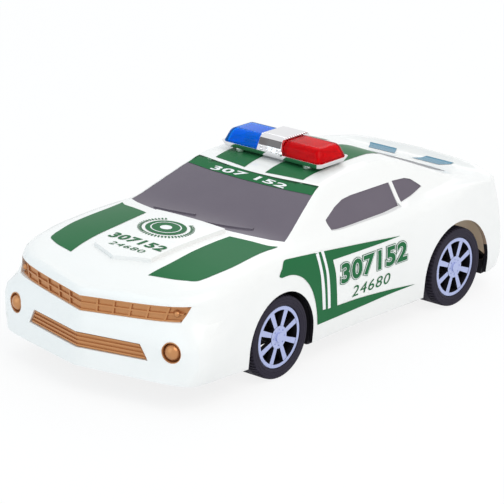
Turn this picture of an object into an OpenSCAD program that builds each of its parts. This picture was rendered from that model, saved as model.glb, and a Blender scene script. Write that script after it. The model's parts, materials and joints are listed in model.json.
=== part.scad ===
// Toy police coupe: a moulded shell on a chassis, with a motor driving the rear axle.
// X points to the nose, Y to the car's left, Z up; the origin is on the ground under the middle.

/* [Body] */
// Length from tail to nose lip
body_length = 260; // [250:1:270]
// Width over the rear wheel flares
body_width = 118; // [114:1:122]
// Height of the hood line at the windscreen
belt_height = 62; // [60:0.5:64]
// Height of the roof peak over the hood line
roof_height = 18.5; // [16.5:0.5:20.5]
// Height of the lower edge of the shell
sill_height = 10.8; // [10.4:0.1:11.4]
// Rise of the lower edge at the nose
nose_lift = 2.4; // [1.5:0.1:3]
// Wall of the shell
shell_wall = 2; // [1.8:0.1:2.4]
// Nose to front axle, set against the rear overhang
front_overhang = 76.4; // [74:0.1:79]
// Tail to rear axle, set against the front overhang
rear_overhang = 48.6; // [46:0.1:51]
// Distance between the axles
wheelbase = 135; // [131:0.5:139]
// Sideways reach of the shoulder curve
shoulder_reach = 8.5; // [7.5:0.5:9.5]
// Rise of the shoulder curve
shoulder_rise = 10; // [9:0.5:11]
// Reach of the curve over the nose edge
nose_reach = 4; // [3:0.5:5]
// Rise of the curve over the nose edge
nose_rise = 3.5; // [3:0.5:4.5]
// Reach of the curve over the tail edge
tail_reach = 3; // [2.5:0.5:4]
// Rise of the curve over the tail edge
tail_rise = 2.4; // [2:0.2:3]
// Height of the raised hood panel
panel_rise = 1.9; // [1.4:0.1:2.4]
// Outward flare of the front bumper corners
bumper_flare = 5.2; // [4:0.1:6]
// Height of the tail lip over the deck
lip_rise = 5; // [4:0.2:6]
// Fall of the hood from its middle to the fender
hood_crown = 4.3; // [3.8:0.1:5]

/* [Cabin] */
// Half width of the roof at its rail
rail_half = 38.8; // [37:0.1:40]
// Height of the roof rail over the hood line
rail_height = 14.9; // [13.5:0.1:16]
// Sideways lean of the side glass in a unit of height
glass_lean = 0.62; // [0.56:0.01:0.68]
// Fall of the windscreen in a unit of length
screen_slope = 0.44; // [0.41:0.01:0.47]
// Fall of the rear window in a unit of length
rear_slope = 0.4; // [0.37:0.01:0.43]
// Forward bow of the windscreen at its middle
screen_bow = 3.8; // [2.5:0.1:5]
// Rearward bow of the rear window
rear_bow = 3; // [2:0.5:4]
// Fall of the roof toward its ends
roof_fall = 2.6; // [2:0.1:3.2]
// Fall of the roof toward its rails
roof_crown = 1.6; // [1:0.1:2.2]
// Softness of the cabin edges
edge_blend = 3; // [2:0.5:4]
// Softness where the cabin meets the body
foot_blend = 3; // [2:0.5:4]

/* [Glass and trim] */
// Thickness of the glass panes
pane_wall = 1.6; // [1.2:0.1:2]
// How far the glass lies below the shell
pane_depth = 0.4; // [0.2:0.1:0.8]
// Width of a moulded wiper
wiper_width = 1.3; // [1:0.1:1.6]
// Height of a moulded wiper
wiper_rise = 0.7; // [0.5:0.1:1]
// Depth of the grille behind the shell face
grille_depth = 1.3; // [1:0.1:1.6]
// Thickness of the grille back
grille_wall = 1.6; // [1.2:0.1:2]
// Bar width in the upper grille
grille_bar = 1.1; // [0.9:0.1:1.4]
// Proud height of the grille bars
bar_rise = 0.8; // [0.6:0.1:1]
// Radius of the small lamps in the upper grille
bead_radius = 1.5; // [1.2:0.1:1.8]
// Radius of a fog lamp
fog_radius = 4.9; // [4.5:0.1:5.3]
// Length of a fog lamp body
fog_length = 6; // [5:0.5:7]
// Radius of a fog lamp's bulb
bulb_radius = 4.1; // [3.8:0.1:4.3]
// Thickness of the tail lamps
lamp_wall = 2.4; // [2:0.1:3]

/* [Wheels] */
// Outer radius of the tyres
tyre_radius = 20; // [19:0.25:21]
// Width of the tyres
tyre_width = 17; // [15.5:0.5:18]
// Outer radius of the rims
rim_radius = 15; // [14.5:0.1:15.5]
// Rounding of the tyre shoulders
tyre_round = 1.2; // [0.8:0.1:1.6]
// Step of the tyre wheel face behind the widest body line
wheel_inset = 1.6; // [1:0.1:3]
// Wall of the rim barrel
rim_wall = 1.5; // [1.2:0.1:1.8]
// Width of the ring round the spokes
rim_ring = 2; // [1.8:0.1:2.4]
// Thickness of the rim face
rim_face = 2.6; // [2.2:0.1:3]
// Depth of the rim face behind the tyre face
face_depth = 0.8; // [0.6:0.1:1.2]
// Radius of the hub disc
hub_radius = 5.4; // [5:0.1:6]
// Radius of the hub boss
boss_radius = 3.8; // [3.2:0.1:4.4]
// Width of a spoke
spoke_width = 2.4; // [2:0.1:2.8]
// Number of spokes
spoke_count = 8; // [6:1:9]
// Radius of the axles
axle_radius = 1.5; // [1.4:0.05:1.6]
// Radius of the front wheel openings
front_arch = 24; // [23.5:0.25:24.5]
// Radius of the rear wheel openings
rear_arch = 26; // [25.5:0.25:26.5]
// Height of the wheel opening centres
arch_height = 18; // [17.5:0.25:19]
// Depth of the wheel openings from the widest body line
arch_depth = 23; // [22:0.5:24]

/* [Light bar] */
// Length of the light bar
bar_length = 62; // [58:1:66]
// Depth of the light bar
bar_depth = 23; // [21:0.5:25]
// Gap under the light bar
bar_lift = 0.8; // [0.6:0.1:1.4]
// Height of the tray
tray_height = 2.6; // [2.4:0.1:3]
// Undercut of the tray's edge
tray_draft = 1.4; // [1:0.1:1.8]
// Height of the lenses over the tray
lens_height = 6.4; // [6:0.1:7.2]
// Wall of the lenses
lens_wall = 1.2; // [1:0.1:1.5]
// Inset of the lens foot from the tray edge
lens_inset = 1; // [0.8:0.1:1.5]
// Draft of the lens faces
lens_draft = 0.6; // [0.4:0.1:1]
// Rounding of the lens tops
lens_round = 4.4; // [4:0.1:4.8]
// Corner radius of the tray and lenses
bar_round = 2.4; // [2:0.1:3]
// Width of the bridge at its foot
bridge_width = 14.8; // [13:0.2:16]
// Rise of the bridge over the lenses
bridge_rise = 1.4; // [1:0.1:2]
// Draft of the bridge faces
bridge_draft = 1.2; // [0.8:0.1:1.6]
// Rounding of the bridge over its front and back
bridge_round = 4; // [3.5:0.1:4]
// Radius of a light emitting diode
diode_radius = 2.5; // [2:0.1:3]
// Radius of the bar's screw posts
bar_post = 2.8; // [2.4:0.1:3.2]
// Spread of the bar's screw posts
bar_post_spread = 36; // [32:1:40]

/* [Chassis] */
// Height of the floor over the ground
floor_height = 9; // [8.5:0.25:9.5]
// Thickness of the floor
floor_wall = 1.6; // [1.4:0.1:2]
// Height of the chassis rim
rim_height = 7; // [6:0.5:8]
// Wall of chassis ribs
rib_wall = 1.6; // [1.4:0.1:2]
// Radius of the axle bosses
bearing_radius = 4; // [3.6:0.1:4.6]
// Height of the rear wheel walls over the ground
rear_wall_height = 27; // [26:0.5:30]
// Gap between tyre and wheel wall
tyre_gap = 2; // [1.5:0.1:2.5]
// Radius of the screw cups
cup_radius = 4.4; // [4:0.1:5]
// Height of the screw cups
cup_height = 5; // [4.5:0.1:6]
// Depth of the screw head pockets
cup_pocket = 3.2; // [3:0.1:3.6]
// Radius of the shell screw posts
post_radius = 3.4; // [3:0.1:3.8]
// Radius of the screw shanks
screw_radius = 1.3; // [1.1:0.1:1.5]
// Radius of the screw heads
head_radius = 2.7; // [2.4:0.1:3]
// Height of the screw heads
head_height = 1.6; // [1.4:0.1:1.8]
// Length of the body screw shanks
screw_length = 12; // [10:0.5:14]

/* [Drive] */
// Gear module
gear_module = 0.6; // [0.58:0.01:0.62]
// Teeth of the axle gear
axle_teeth = 28; // [28:1:28]
// Teeth of the small compound gear
small_teeth = 12; // [12:1:12]
// Teeth of the large compound gear
large_teeth = 30; // [30:1:30]
// Teeth of the motor pinion
pinion_teeth = 10; // [10:1:10]
// Slack between the gear flanks
gear_slack = 0.16; // [0.12:0.01:0.2]
// Face width of the gears
gear_width = 4; // [3.5:0.1:4.5]
// Gap between neighbouring gears
gear_gap = 1; // [0.8:0.1:1.2]
// Radius of the compound gear shaft
shaft_radius = 1; // [0.9:0.05:1.1]
// Thickness of the gearbox plates
plate_wall = 2; // [1.8:0.1:2.4]
// Radius of the motor can
motor_radius = 10; // [9.5:0.1:10.5]
// Height of the motor across its flats
motor_height = 15; // [14.5:0.1:15.5]
// Length of the motor can
motor_length = 25; // [23:0.5:27]
// Room between the motor's rear collar and the wheel wall
motor_room = 4.8; // [4:0.1:6]
// Radius of the motor shaft
motor_shaft = 1; // [0.9:0.05:1.1]
// Radius of the motor's front collar
collar_radius = 3; // [2.8:0.1:3.2]
// Radius of the gearbox spacers
spacer_radius = 2.2; // [2:0.1:2.4]

/* [Power] */
// Radius of a cell
cell_radius = 7.1; // [7:0.05:7.2]
// Length of a cell without its button
cell_length = 49; // [48.5:0.1:49.5]
// Radius of a cell's button
button_radius = 2.7; // [2.5:0.1:3]
// Height of a cell's button
button_height = 1; // [0.8:0.1:1.2]
// Distance between cells
cell_pitch = 14.8; // [14.6:0.1:15]
// Thickness of a battery contact
contact_wall = 0.6; // [0.5:0.1:0.8]
// Room for a contact spring
spring_room = 2; // [1.6:0.1:2.4]
// Margin of the battery door over the bay
door_margin = 3; // [2.5:0.1:3.5]
// Length of the door's screw ear
door_ear = 9; // [8:0.5:10]
// Height of the battery door screw boss
boss_height = 9; // [8:0.5:10]
// Travel of the power switch
switch_travel = 4; // [3.5:0.1:4.5]
// Length of the switch body
switch_length = 14; // [13:0.5:16]
// Width of the switch body
switch_width = 7; // [6:0.5:8]
// Height of the switch body
switch_height = 6; // [5:0.5:7]
// Length of the switch knob
knob_length = 4; // [3.5:0.1:4.5]
// Length of the circuit board
board_length = 44; // [40:1:48]
// Width of the circuit board
board_width = 32; // [28:1:36]
// Thickness of the circuit board
board_wall = 1.6; // [1.2:0.1:2]
// Radius of the speaker
speaker_radius = 14; // [13:0.5:15]
// Height of the speaker
speaker_height = 6; // [5:0.5:7]

/* [Fits] */
// Running clearance of the axles and shafts
run_fit = 0.06; // [0.04:0.01:0.08]
// Clearance of parts set in an opening
seat_fit = 0.15; // [0.1:0.05:0.25]
// Clearance of pressed parts
press_fit = 0.02; // [0.01:0.01:0.03]
// Clearance of sliding parts
slide_fit = 0.3; // [0.25:0.05:0.4]
// Overrun of cuts
overrun = 1; // [0.5:0.5:2]

/* [Hidden] */
$fn = 48;
half_length = body_length / 2;
half_width = body_width / 2;
roof_top = belt_height + roof_height;
rail_top = belt_height + rail_height;
// The length beyond the wheelbase is split between the ends as the overhangs are
front_end_share = front_overhang / (front_overhang + rear_overhang);
front_axle_x = half_length - front_end_share * (body_length - wheelbase);
rear_axle_x = front_axle_x - wheelbase;
axle_height = tyre_radius;
wheel_face = half_width - wheel_inset;
wheel_back = wheel_face - tyre_width;
well_y = wheel_back - tyre_gap;
half_turn = 180;
nose_share = 0.654;
tail_share = 0.77;
nose_x = nose_share * half_length;
tail_x = -tail_share * half_length;
nose_sweep_share = 0.21;
tail_sweep_share = 0.02;
bumper_corner_share = 12;
fender_corner_share = 6.5;
bumper_share = 0.57;
ledge_share = 0.1;
tail_crown_share = 0.15;
tail_edge_share = 0.2;
tail_corner_share = 5.4;

// Heights of the hood and deck along the middle, as shares of half length and belt height
spine_shares = [
    [-1, 0.935], [-0.93, 0.938], [-0.84, 0.95], [-0.7, 0.985], [-0.5, 1], [0, 0.995], [0.38, 1.004],
    [0.6, 0.978], [0.74, 0.941], [0.82, 0.907], [0.9, 0.845], [0.97, 0.762], [1, 0.72]
];
// Half widths along the length, as shares of half length and half width
plan_shares = [
    [-1, 0.96], [-0.8, 0.982], [-0.62, 1], [-0.35, 0.98], [0, 0.968], [0.25, 0.98], [0.42, 1],
    [0.65, 1.014], [0.8, 1.016], [1, 1]
];
// Insets of the walls up their height, as shares of belt height and half width
side_shares = [[0.18, 0.014], [0.26, 0.006], [0.36, 0], [0.64, 0], [0.74, 0.006], [0.85, 0.02]];
nose_shares = [[0.18, 0.02], [0.22, 0.004], [0.29, 0.017], [0.35, 0.027], [0.52, 0.03], [0.59, 0.066],
    [0.76, 0.072]];
tail_shares = [[0.19, 0.03], [0.3, 0], [0.55, 0.015], [0.8, 0.06], [0.92, 0.09]];

function mix(a, b, t) = a + (b - a) * t;
function held(t) = min(1, max(0, t));
function ease(t) = held(t) * held(t) * (3 - 2 * held(t));
function higher(a, b, k) = max(a, b) + pow(max(k - abs(a - b), 0), 2) / k / 4;
function lower(a, b, k) = min(a, b) - pow(max(k - abs(a - b), 0), 2) / k / 4;
function span(rows, x, i = 0) = i >= len(rows) - 2 || x < rows[i + 1][0] ? i : span(rows, x, i + 1);
function tilt(rows, i) =
    let (a = max(0, i - 1), b = min(len(rows) - 1, i + 1))
    (rows[b][1] - rows[a][1]) / (rows[b][0] - rows[a][0]);
function curve(rows, x) =
    let (i = span(rows, x), w = rows[i + 1][0] - rows[i][0], t = held((x - rows[i][0]) / w), s = 1 - t)
    rows[i][1] * (1 + 2 * t) * s * s + tilt(rows, i) * w * t * s * s
        + rows[i + 1][1] * t * t * (3 - 2 * t) - tilt(rows, i + 1) * w * t * t * s;

// Fall of the hood and deck toward their edges
function crown_at(x) = hood_crown * mix(1, tail_crown_share, ease((-x / half_length - 0.3) * 2));
// Height of the hood and deck without the cabin
function deck_z(x, y) =
    belt_height * curve(spine_shares, x / half_length) - crown_at(x) * pow(y / half_width, 2)
        + lip_rise * ease((-x / half_length - lip_share) / lip_run_share);
lip_share = 0.9;
lip_run_share = 0.06;
// Heights of the roof, windscreen, rear window and side glass
header_share = 0.058;
rear_header_share = 0.455;
roof_peak_share = -0.22;
roof_run_share = 0.27;
cabin_taper_share = 0.14;
header_x = header_share * half_length;
rear_header_x = -rear_header_share * half_length;
function roof_z(x, y) =
    roof_top - roof_fall * pow((x / half_length - roof_peak_share) / roof_run_share, 2)
        - roof_crown * pow(y / rail_half, 2);
function screen_z(x, y) =
    rail_top - screen_slope * (x - header_x + screen_bow * pow(y / rail_half, 2));
function rear_z(x, y) =
    rail_top - rear_slope * (rear_header_x - x + rear_bow * pow(y / rail_half, 2));
function rail_at(x) = rail_half * (1 - cabin_taper_share * ease((header_x - x) / body_length));
function glass_z(x, y) = rail_top + (rail_at(x) - abs(y)) / glass_lean;
function glass_y(x, z) = rail_at(x) - (z - rail_top) * glass_lean;
function cabin_z(x, y) =
    lower(lower(lower(screen_z(x, y), rear_z(x, y), edge_blend), roof_z(x, y), edge_blend),
        glass_z(x, y), edge_blend);
function top_z(x, y) = higher(deck_z(x, y), cabin_z(x, y), foot_blend);

// Plan outline of the shell: a column is its foot on the spine, its turn from straight ahead and its end
function side_y(x) = half_width * curve(plan_shares, x / half_length);
function reach_x(column) = column[2] > 0 ? half_length - nose_x : half_length + tail_x;
function end_sweep(column) = column[2] > 0 ? nose_sweep_share : tail_sweep_share;
function ledge_at(z) = ease((z / belt_height - bumper_share) / ledge_share);
function nose_square(z) = mix(bumper_corner_share, fender_corner_share, ledge_at(z));
function end_square(column, z) = column[2] > 0 ? nose_square(z) : tail_corner_share;
function outline_reach(column, z, end_inset, side_inset) =
    let (c = cos(column[1]), s = sin(column[1]), p = end_square(column, z),
        a = s / (side_y(column[0]) - side_inset),
        b = (c + end_sweep(column) * s) / (reach_x(column) - end_inset))
    column[1] == 90 ? 1 / a : pow(pow(a, p) + pow(b, p), -1 / p);
function wall_inset(rows, z) = half_width * curve(rows, z / belt_height);
function end_inset(column, z) = wall_inset(column[2] > 0 ? nose_shares : tail_shares, z);
function side_inset(column, z) =
    mix(wall_inset(side_shares, z), end_inset(column, z), ease(1.5 * cos(column[1])))
        - (column[2] > 0 ? bumper_flare * ease(1.8 * cos(column[1])) * (1 - ledge_at(z))
            * ease((z / belt_height - 0.2) / 0.15) : 0);
function along(column, r) = [column[0] + column[2] * cos(column[1]) * r, sin(column[1]) * r];
// Nose face at a given place across and up
function nose_at(y, z) =
    let (column = [nose_x, 45, 1], p = nose_square(z),
        r = half_length - nose_x - end_inset(column, z), w = side_y(nose_x) - side_inset(column, z))
    nose_x + r * pow(max(0, 1 - pow(min(1, abs(y) / w), p)), 1 / p) - nose_sweep_share * abs(y);
function tail_at(y, z) =
    let (column = [tail_x, 90, -1], p = tail_corner_share,
        r = half_length + tail_x - end_inset(column, z), w = side_y(tail_x) - wall_inset(side_shares, z))
    tail_x - r * pow(max(0, 1 - pow(min(1, abs(y) / w), p)), 1 / p) + tail_sweep_share * abs(y);

fan_shares = [[0, 0], [0.45, 0.5], [0.6, 0.63], [0.85, 0.78], [1, 1]];
function body_columns(front, middle, back) = concat(
    [for (i = [0:front - 1]) [nose_x, 90 * curve(fan_shares, i / front), 1]],
    [for (i = [0:middle]) [mix(nose_x, tail_x, i / middle), 90, i * 2 > middle ? -1 : 1]],
    [for (i = [back - 1:-1:0]) [tail_x, 90 * i / back, -1]]
);
// Points of one column from the lower edge up the wall, over the shoulder and in to the spine
function full(t) = pow(t, turn_share);
turn_share = 0.78;
function tail_edge(x) = mix(1, tail_edge_share, ease((-x / half_length - 0.5) / 0.25));
function edge_mix(column, side, end) = mix(side, end, pow(cos(column[1]), 2));
function foot_z(column, foot) = foot + nose_lift * ease((along(column,
    half_width)[0] - front_axle_x) / half_width);
function edge_end(column, front, back) = column[2] > 0 ? front : back;
function body_column(column, side, foot, wall, walls, turns, tops) =
    let (e = [edge_end(column, nose_reach, tail_reach), shoulder_reach * tail_edge(column[0])],
        rise = edge_mix(column, shoulder_rise * tail_edge(column[0]),
            edge_end(column, nose_rise, tail_rise)),
        inner = along(column, outline_reach(column, belt_height, end_inset(column, belt_height) + e[0],
            e[1])),
        top = deck_z(inner[0], inner[1]) - wall,
        brow = top - rise,
        high = [end_inset(column, brow), side_inset(column, brow)])
    concat(
        [for (i = [0:walls])
            let (z = mix(foot_z(column, foot), brow, i / walls),
                p = along(column, outline_reach(column, z, end_inset(column, z) + wall,
                    side_inset(column, z) + wall)))
            [p[0], side * p[1], z]],
        [for (i = [1:turns - 1])
            let (a = 90 * i / turns,
                p = along(column, outline_reach(column, brow, high[0] + wall + e[0] * (1 - full(cos(a))),
                    high[1] + wall + e[1] * (1 - full(cos(a))))))
            [p[0], side * p[1], mix(brow, top, full(sin(a)))]],
        [for (t = tops)
            let (p = along(column, outline_reach(column, brow, high[0] + wall + e[0],
                high[1] + wall + e[1]) * (1 - t)))
            [p[0], side * p[1], top_z(p[0], p[1]) - wall * (1 + 0.2 * ease(-p[0] / half_length + 2))]]
    );
top_shares = [0, 0.04, 0.08, 0.125, 0.17, 0.215, 0.265, 0.33, 0.44, 0.6, 0.8];
rough_shares = [0, 0.08, 0.16, 0.24, 0.36, 0.65];
// Counts of columns round the nose, along the sides and round the tail, of rows up wall and shoulder
fine_counts = [13, 35, 9, 6, 4];
rough_counts = [9, 21, 6, 4, 3];
module body_solid(wall, foot, counts, tops) {
    front = counts[0];
    middle = counts[1];
    back = counts[2];
    walls = counts[3];
    turns = counts[4];
    columns = body_columns(front, middle, back);
    last = len(columns) - 1;
    ring = concat([for (i = [0:last]) [i, 1]], [for (i = [last - 1:-1:1]) [i, -1]]);
    rows = walls + turns + len(tops);
    skin = [for (c = ring) each body_column(columns[c[0]], c[1], foot, wall, walls, turns, tops)];
    spine = [for (i = [0:middle]) let (x = columns[front + i][0]) [x, 0, top_z(x, 0) - wall * 1.2]];
    function on_spine(c) = len(skin) + min(middle, max(0, ring[c][0] - front));
    faces = [for (c = [0:len(ring) - 1])
        let (n = (c + 1) % len(ring), a = c * rows, b = n * rows)
        each concat(
            [for (r = [0:rows - 2]) each [[a + r, a + r + 1, b + r + 1], [a + r, b + r + 1, b + r]]],
            on_spine(c) == on_spine(n)
                ? [[a + rows - 1, on_spine(c), b + rows - 1]]
                : [[a + rows - 1, on_spine(c), on_spine(n)], [a + rows - 1, on_spine(n), b + rows - 1]]
        )];
    base = [for (c = [0:last - 1])
        let (a = c * rows, b = (c + 1) * rows, m = (len(ring) - c) % len(ring) * rows,
            n = (len(ring) - c - 1) * rows)
        each c == 0 ? [[a, b, n]] : c == last - 1 ? [[a, b, m]] : [[a, b, n], [a, n, m]]];
    polyhedron(concat(skin, spine), concat(faces, base));
}

// A skin between two grids of points
module slab(outer, inner) {
    across = len(outer);
    up = len(outer[0]);
    count = across * up;
    function edge(a, b) = [[b, a, a + count], [b, a + count, b + count]];
    polyhedron(
        concat([for (c = outer) each c], [for (c = inner) each c]),
        concat(
            [for (i = [0:across - 2], j = [0:up - 2])
                let (a = i * up + j)
                each [[a, a + 1, a + up + 1], [a, a + up + 1, a + up]]],
            [for (i = [0:across - 2], j = [0:up - 2])
                let (a = count + i * up + j)
                each [[a, a + up + 1, a + 1], [a, a + up, a + up + 1]]],
            [for (i = [0:across - 2]) each edge(i * up + up, i * up)],
            [for (i = [0:across - 2]) each edge(i * up + up - 1, i * up + 2 * up - 1)],
            [for (j = [0:up - 2]) each edge(j, j + 1)],
            [for (j = [0:up - 2]) each edge(count - up + j + 1, count - up + j)]
        )
    );
}
function steps(n) = [for (i = [0:n]) i / n];
function sides(n) = [for (i = [-n:n]) i / n];
function arc(center, radius, from, to, n) =
    [for (i = [0:n]) center + radius * [cos(mix(from, to, i / n)), sin(mix(from, to, i / n))]];

// Windscreen and rear window in plan: header and base at the middle, bow of each, half widths of each
screen_shares = [0.057, 0.385, 0.03, 0.075, 0.628, 0.808];
backlight_shares = [-0.475, -0.8, -0.015, -0.02, 0.52, 0.585];
function plan_at(shares, u, v, fit) =
    let (x = half_length * mix(shares[0] - shares[2] * u * u, shares[1] - shares[3] * u * u, v),
        y = half_width * mix(shares[4], shares[5], v))
    [x + (v - 0.5) * 2 * fit * (shares[1] > shares[0] ? 1 : -1), u * (y + fit)];
module plan_pane(shares, across, up, drop) {
    function skin(depth) = [for (u = sides(across)) [for (v = steps(up))
        let (p = plan_at(shares, u, v, -press_fit)) [p[0], p[1], top_z(p[0], p[1]) - depth]]];
    if (shares[1] > shares[0]) slab(skin(drop + pane_wall), skin(drop));
    else slab(skin(drop), skin(drop + pane_wall));
}
module plan_opening(shares, across) {
    translate([0, 0, mix(sill_height, belt_height, 0.5)])
        linear_extrude(roof_top)
            polygon(concat(
                [for (u = sides(across)) plan_at(shares, u, 0, 0)],
                [for (u = sides(across)) plan_at(shares, -u, 1, 0)]
            ));
}

// Side windows: places along the length with lower and upper edges as shares of the cabin height
door_glass_shares = [
    [-0.332, -0.17, 0.395], [-0.24, -0.2, 0.405], [-0.1, -0.195, 0.415], [-0.05, -0.195, 0.39],
    [0.003, -0.19, 0.29], [0.035, -0.18, 0.2], [0.074, -0.15, 0.09]
];
quarter_glass_shares = [
    [-0.5, 0.045, 0.075], [-0.48, 0.015, 0.185], [-0.456, -0.02, 0.3], [-0.426, -0.06, 0.365],
    [-0.352, -0.125, 0.4]
];
function cabin_share_z(share) = mix(belt_height, roof_top, share);
module side_pane(shares, side) {
    last = len(shares) - 1;
    function skin(depth) = [for (i = [0:last]) [for (v = steps(3))
        let (x = half_length * shares[i][0] + press_fit * (i == 0 ? 1 : i == last ? -1 : 0),
            z = cabin_share_z(mix(shares[i][1], shares[i][2], v)) + press_fit * (1 - 2 * v))
        [x, side * (glass_y(x, z) - depth), z]]];
    if (side > 0) slab(skin(pane_depth + pane_wall), skin(pane_depth));
    else slab(skin(pane_depth), skin(pane_depth + pane_wall));
}
module side_opening(shares) {
    translate([0, half_width, 0])
        rotate([90, 0, 0])
            linear_extrude(body_width)
                polygon(concat(
                    [for (row = shares) [half_length * row[0], cabin_share_z(row[1])]],
                    [for (i = [len(shares) - 1:-1:0])
                        [half_length * shares[i][0], cabin_share_z(shares[i][2])]]
                ));
}

// Grilles on the nose: half widths low and high, heights low and high at the middle and at the ends
upper_shares = [0.839, 0.885, 0.616, 0.732, 0.661, 0.779];
lower_shares = [0.622, 0.554, 0.345, 0.466, 0.356, 0.473];
function face_at(shares, u, v) =
    let (a = abs(u))
    [u * half_width * mix(shares[0], shares[1], v),
        belt_height * mix(mix(shares[2], shares[4], a), mix(shares[3], shares[5], a), v)];
module grille_skin(shares, us, vs, near, far) {
    function skin(depth) = [for (u = us) [for (v = vs)
        let (p = face_at(shares, u, v)) [nose_at(p[0], p[1]) - depth, p[0], p[1]]]];
    slab(skin(near), skin(far));
}
module grille_opening(shares) {
    low = face_at(shares, 1, 0);
    high = face_at(shares, 1, 1);
    deepest = min(nose_at(low[0], low[1]), nose_at(high[0], high[1]));
    translate([deepest - grille_depth - grille_wall - overrun / 2, 0, 0])
        rotate([90, 0, 90])
            linear_extrude(half_length)
                polygon([for (q = [[-1, 0], [0, 0], [1, 0], [1, 1], [0, 1], [-1, 1]]) face_at(shares,
                    q[0], q[1])]);
}
rim_share = 0.97;

module along_x(x, y, z) { translate([x, y, z]) rotate([0, 90, 0]) children(); }
module along_y(x, y, z) { translate([x, y, z]) rotate([-90, 0, 0]) children(); }
module mirrored() { children(); mirror([0, 1, 0]) children(); }

fog_shares = [0.815, 0.45];
fog_y = fog_shares[0] * half_width;
fog_z = fog_shares[1] * belt_height;
fog_inner_x = nose_at(fog_y - fog_radius, fog_z);
fog_outer_x = nose_at(fog_y + fog_radius, fog_z);
fog_x = (fog_inner_x + fog_outer_x) / 2 - pane_depth;
fog_turn = atan((fog_inner_x - fog_outer_x) / fog_radius / 2);
module at_fog() { translate([fog_x, fog_y, fog_z]) rotate([0, 90, fog_turn]) children(); }
lamp_shares = [0.3, 0.8, 0.65, 0.78];
bar_share = -0.126;
bar_x = bar_share * half_length;
bar_z = top_z(bar_x, 0) + bar_lift;
tray_z = bar_z + tray_height;
lens_z = tray_z + lens_height;
bar_post_y = bar_post_spread / 2;
floor_z = floor_height + floor_wall;
front_post_share = 0.552;
rear_post_share = 0.5;
post_y = well_y - rib_wall - 2 * post_radius;
posts = [
    [mix(front_axle_x, half_length, front_post_share), post_y],
    [mix(rear_axle_x, -half_length, rear_post_share), post_y]
];
cup_z = floor_height + cup_height;

module wheel_opening(x, radius) {
    hull() {
        along_y(x, half_width - arch_depth, arch_height) cylinder(r = radius, h = body_width);
        along_y(x, half_width - arch_depth, -radius) cylinder(r = radius, h = body_width);
    }
}
module lamp_opening() {
    from = [lamp_shares[0] * half_width - press_fit, lamp_shares[2] * belt_height - press_fit];
    to = [lamp_shares[1] * half_width + press_fit, lamp_shares[3] * belt_height + press_fit];
    deep = tail_at(to[0], to[1]) + pane_depth + lamp_wall + overrun;
    translate([-half_length - overrun, from[0], from[1]])
        cube([deep + half_length + overrun, to[0] - from[0], to[1] - from[1]]);
}
module shell_post(place) {
    hull() {
        translate([place[0], place[1], cup_z]) cylinder(r = post_radius, h = overrun);
        translate([place[0], place[1], belt_height]) cylinder(r = post_radius + seat_fit, h = overrun);
    }
}
module hood_panel() {
    panel_shares = [0.394, 0.8, -0.05, 0.368, 0.3];
    function place(u, v) =
        [half_length * mix(panel_shares[0], panel_shares[1] + panel_shares[2] * abs(u), v),
            u * half_width * mix(panel_shares[3], panel_shares[4], v)];
    function skin(rise, grow) = [for (u = sides(6)) [for (v = steps(8))
        let (p = place(u * grow, v)) [p[0], p[1], top_z(p[0], p[1]) + rise]]];
    slab(skin(-shell_wall / 2, 1), skin(panel_rise, rim_share));
}
module body_shell() {
    color("white") difference() {
        union() {
            difference() {
                body_solid(0, sill_height, fine_counts, top_shares);
                body_solid(shell_wall, sill_height - overrun, rough_counts, rough_shares);
            }
            hood_panel();
            intersection() {
                body_solid(shell_wall / 2, sill_height, rough_counts, rough_shares);
                mirrored() for (place = posts) shell_post(place);
            }
        }
        plan_opening(screen_shares, 8);
        plan_opening(backlight_shares, 6);
        side_opening(door_glass_shares);
        side_opening(quarter_glass_shares);
        grille_opening(upper_shares);
        grille_opening(lower_shares);
        mirrored() {
            wheel_opening(front_axle_x, front_arch);
            wheel_opening(rear_axle_x, rear_arch);
            lamp_opening();
            at_fog() cylinder(r = fog_radius + press_fit, h = 4 * fog_length, center = true);
            translate([bar_x, bar_post_y, belt_height])
                cylinder(r = bar_post + slide_fit, h = roof_top);
            for (place = posts)
                translate([place[0], place[1], cup_z - overrun])
                    cylinder(r = screw_radius + run_fit, h = screw_length + overrun);
        }
    }
}
wiper_shares = [[0.12, 0.93, 0.62, 0.84], [-0.62, 0.95, -0.1, 0.83]];
module wiper(row) {
    function skin(rise, grow) = [for (a = [-1, 1]) [for (t = steps(4))
        let (q = plan_at(screen_shares, mix(row[0], row[2], t), mix(row[1], row[3], t), -seat_fit),
            p = q + [a * grow * wiper_width / 2, 0])
        [p[0], p[1], top_z(p[0], p[1]) - pane_depth + rise]]];
    slab(skin(wiper_rise, 0.6), skin(-pane_wall / 2, 1));
}
module windshield() {
    color("dimgray") {
        plan_pane(screen_shares, 8, 12, pane_depth);
        for (row = wiper_shares) wiper(row);
    }
}
module rear_window() { color("dimgray") plan_pane(backlight_shares, 6, 6, pane_depth); }
module left_door_window() { color("dimgray") side_pane(door_glass_shares, 1); }
module right_door_window() { color("dimgray") side_pane(door_glass_shares, -1); }
module left_quarter_window() { color("dimgray") side_pane(quarter_glass_shares, 1); }
module right_quarter_window() { color("dimgray") side_pane(quarter_glass_shares, -1); }
fit_share = 0.9996;
grille_edge_shares = [0.003, 0.997];
upper_row_shares = [0.06, 0.5, 0.94];
lower_row_shares = [0.12, 0.37, 0.63, 0.88];
row_half_share = 0.05;
grille_bar_shares = [0.165, 0.33, 0.495, 0.665, 0.84];
bead_share = 0.915;
module grille(shares, across, rows) {
    buried = grille_depth + grille_wall / 2;
    grille_skin(shares, fit_share * sides(across), grille_edge_shares, grille_depth,
        grille_depth + grille_wall);
    for (v = rows)
        grille_skin(shares, rim_share * sides(across), [v - row_half_share, v + row_half_share],
            grille_depth - bar_rise, buried);
}
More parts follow.
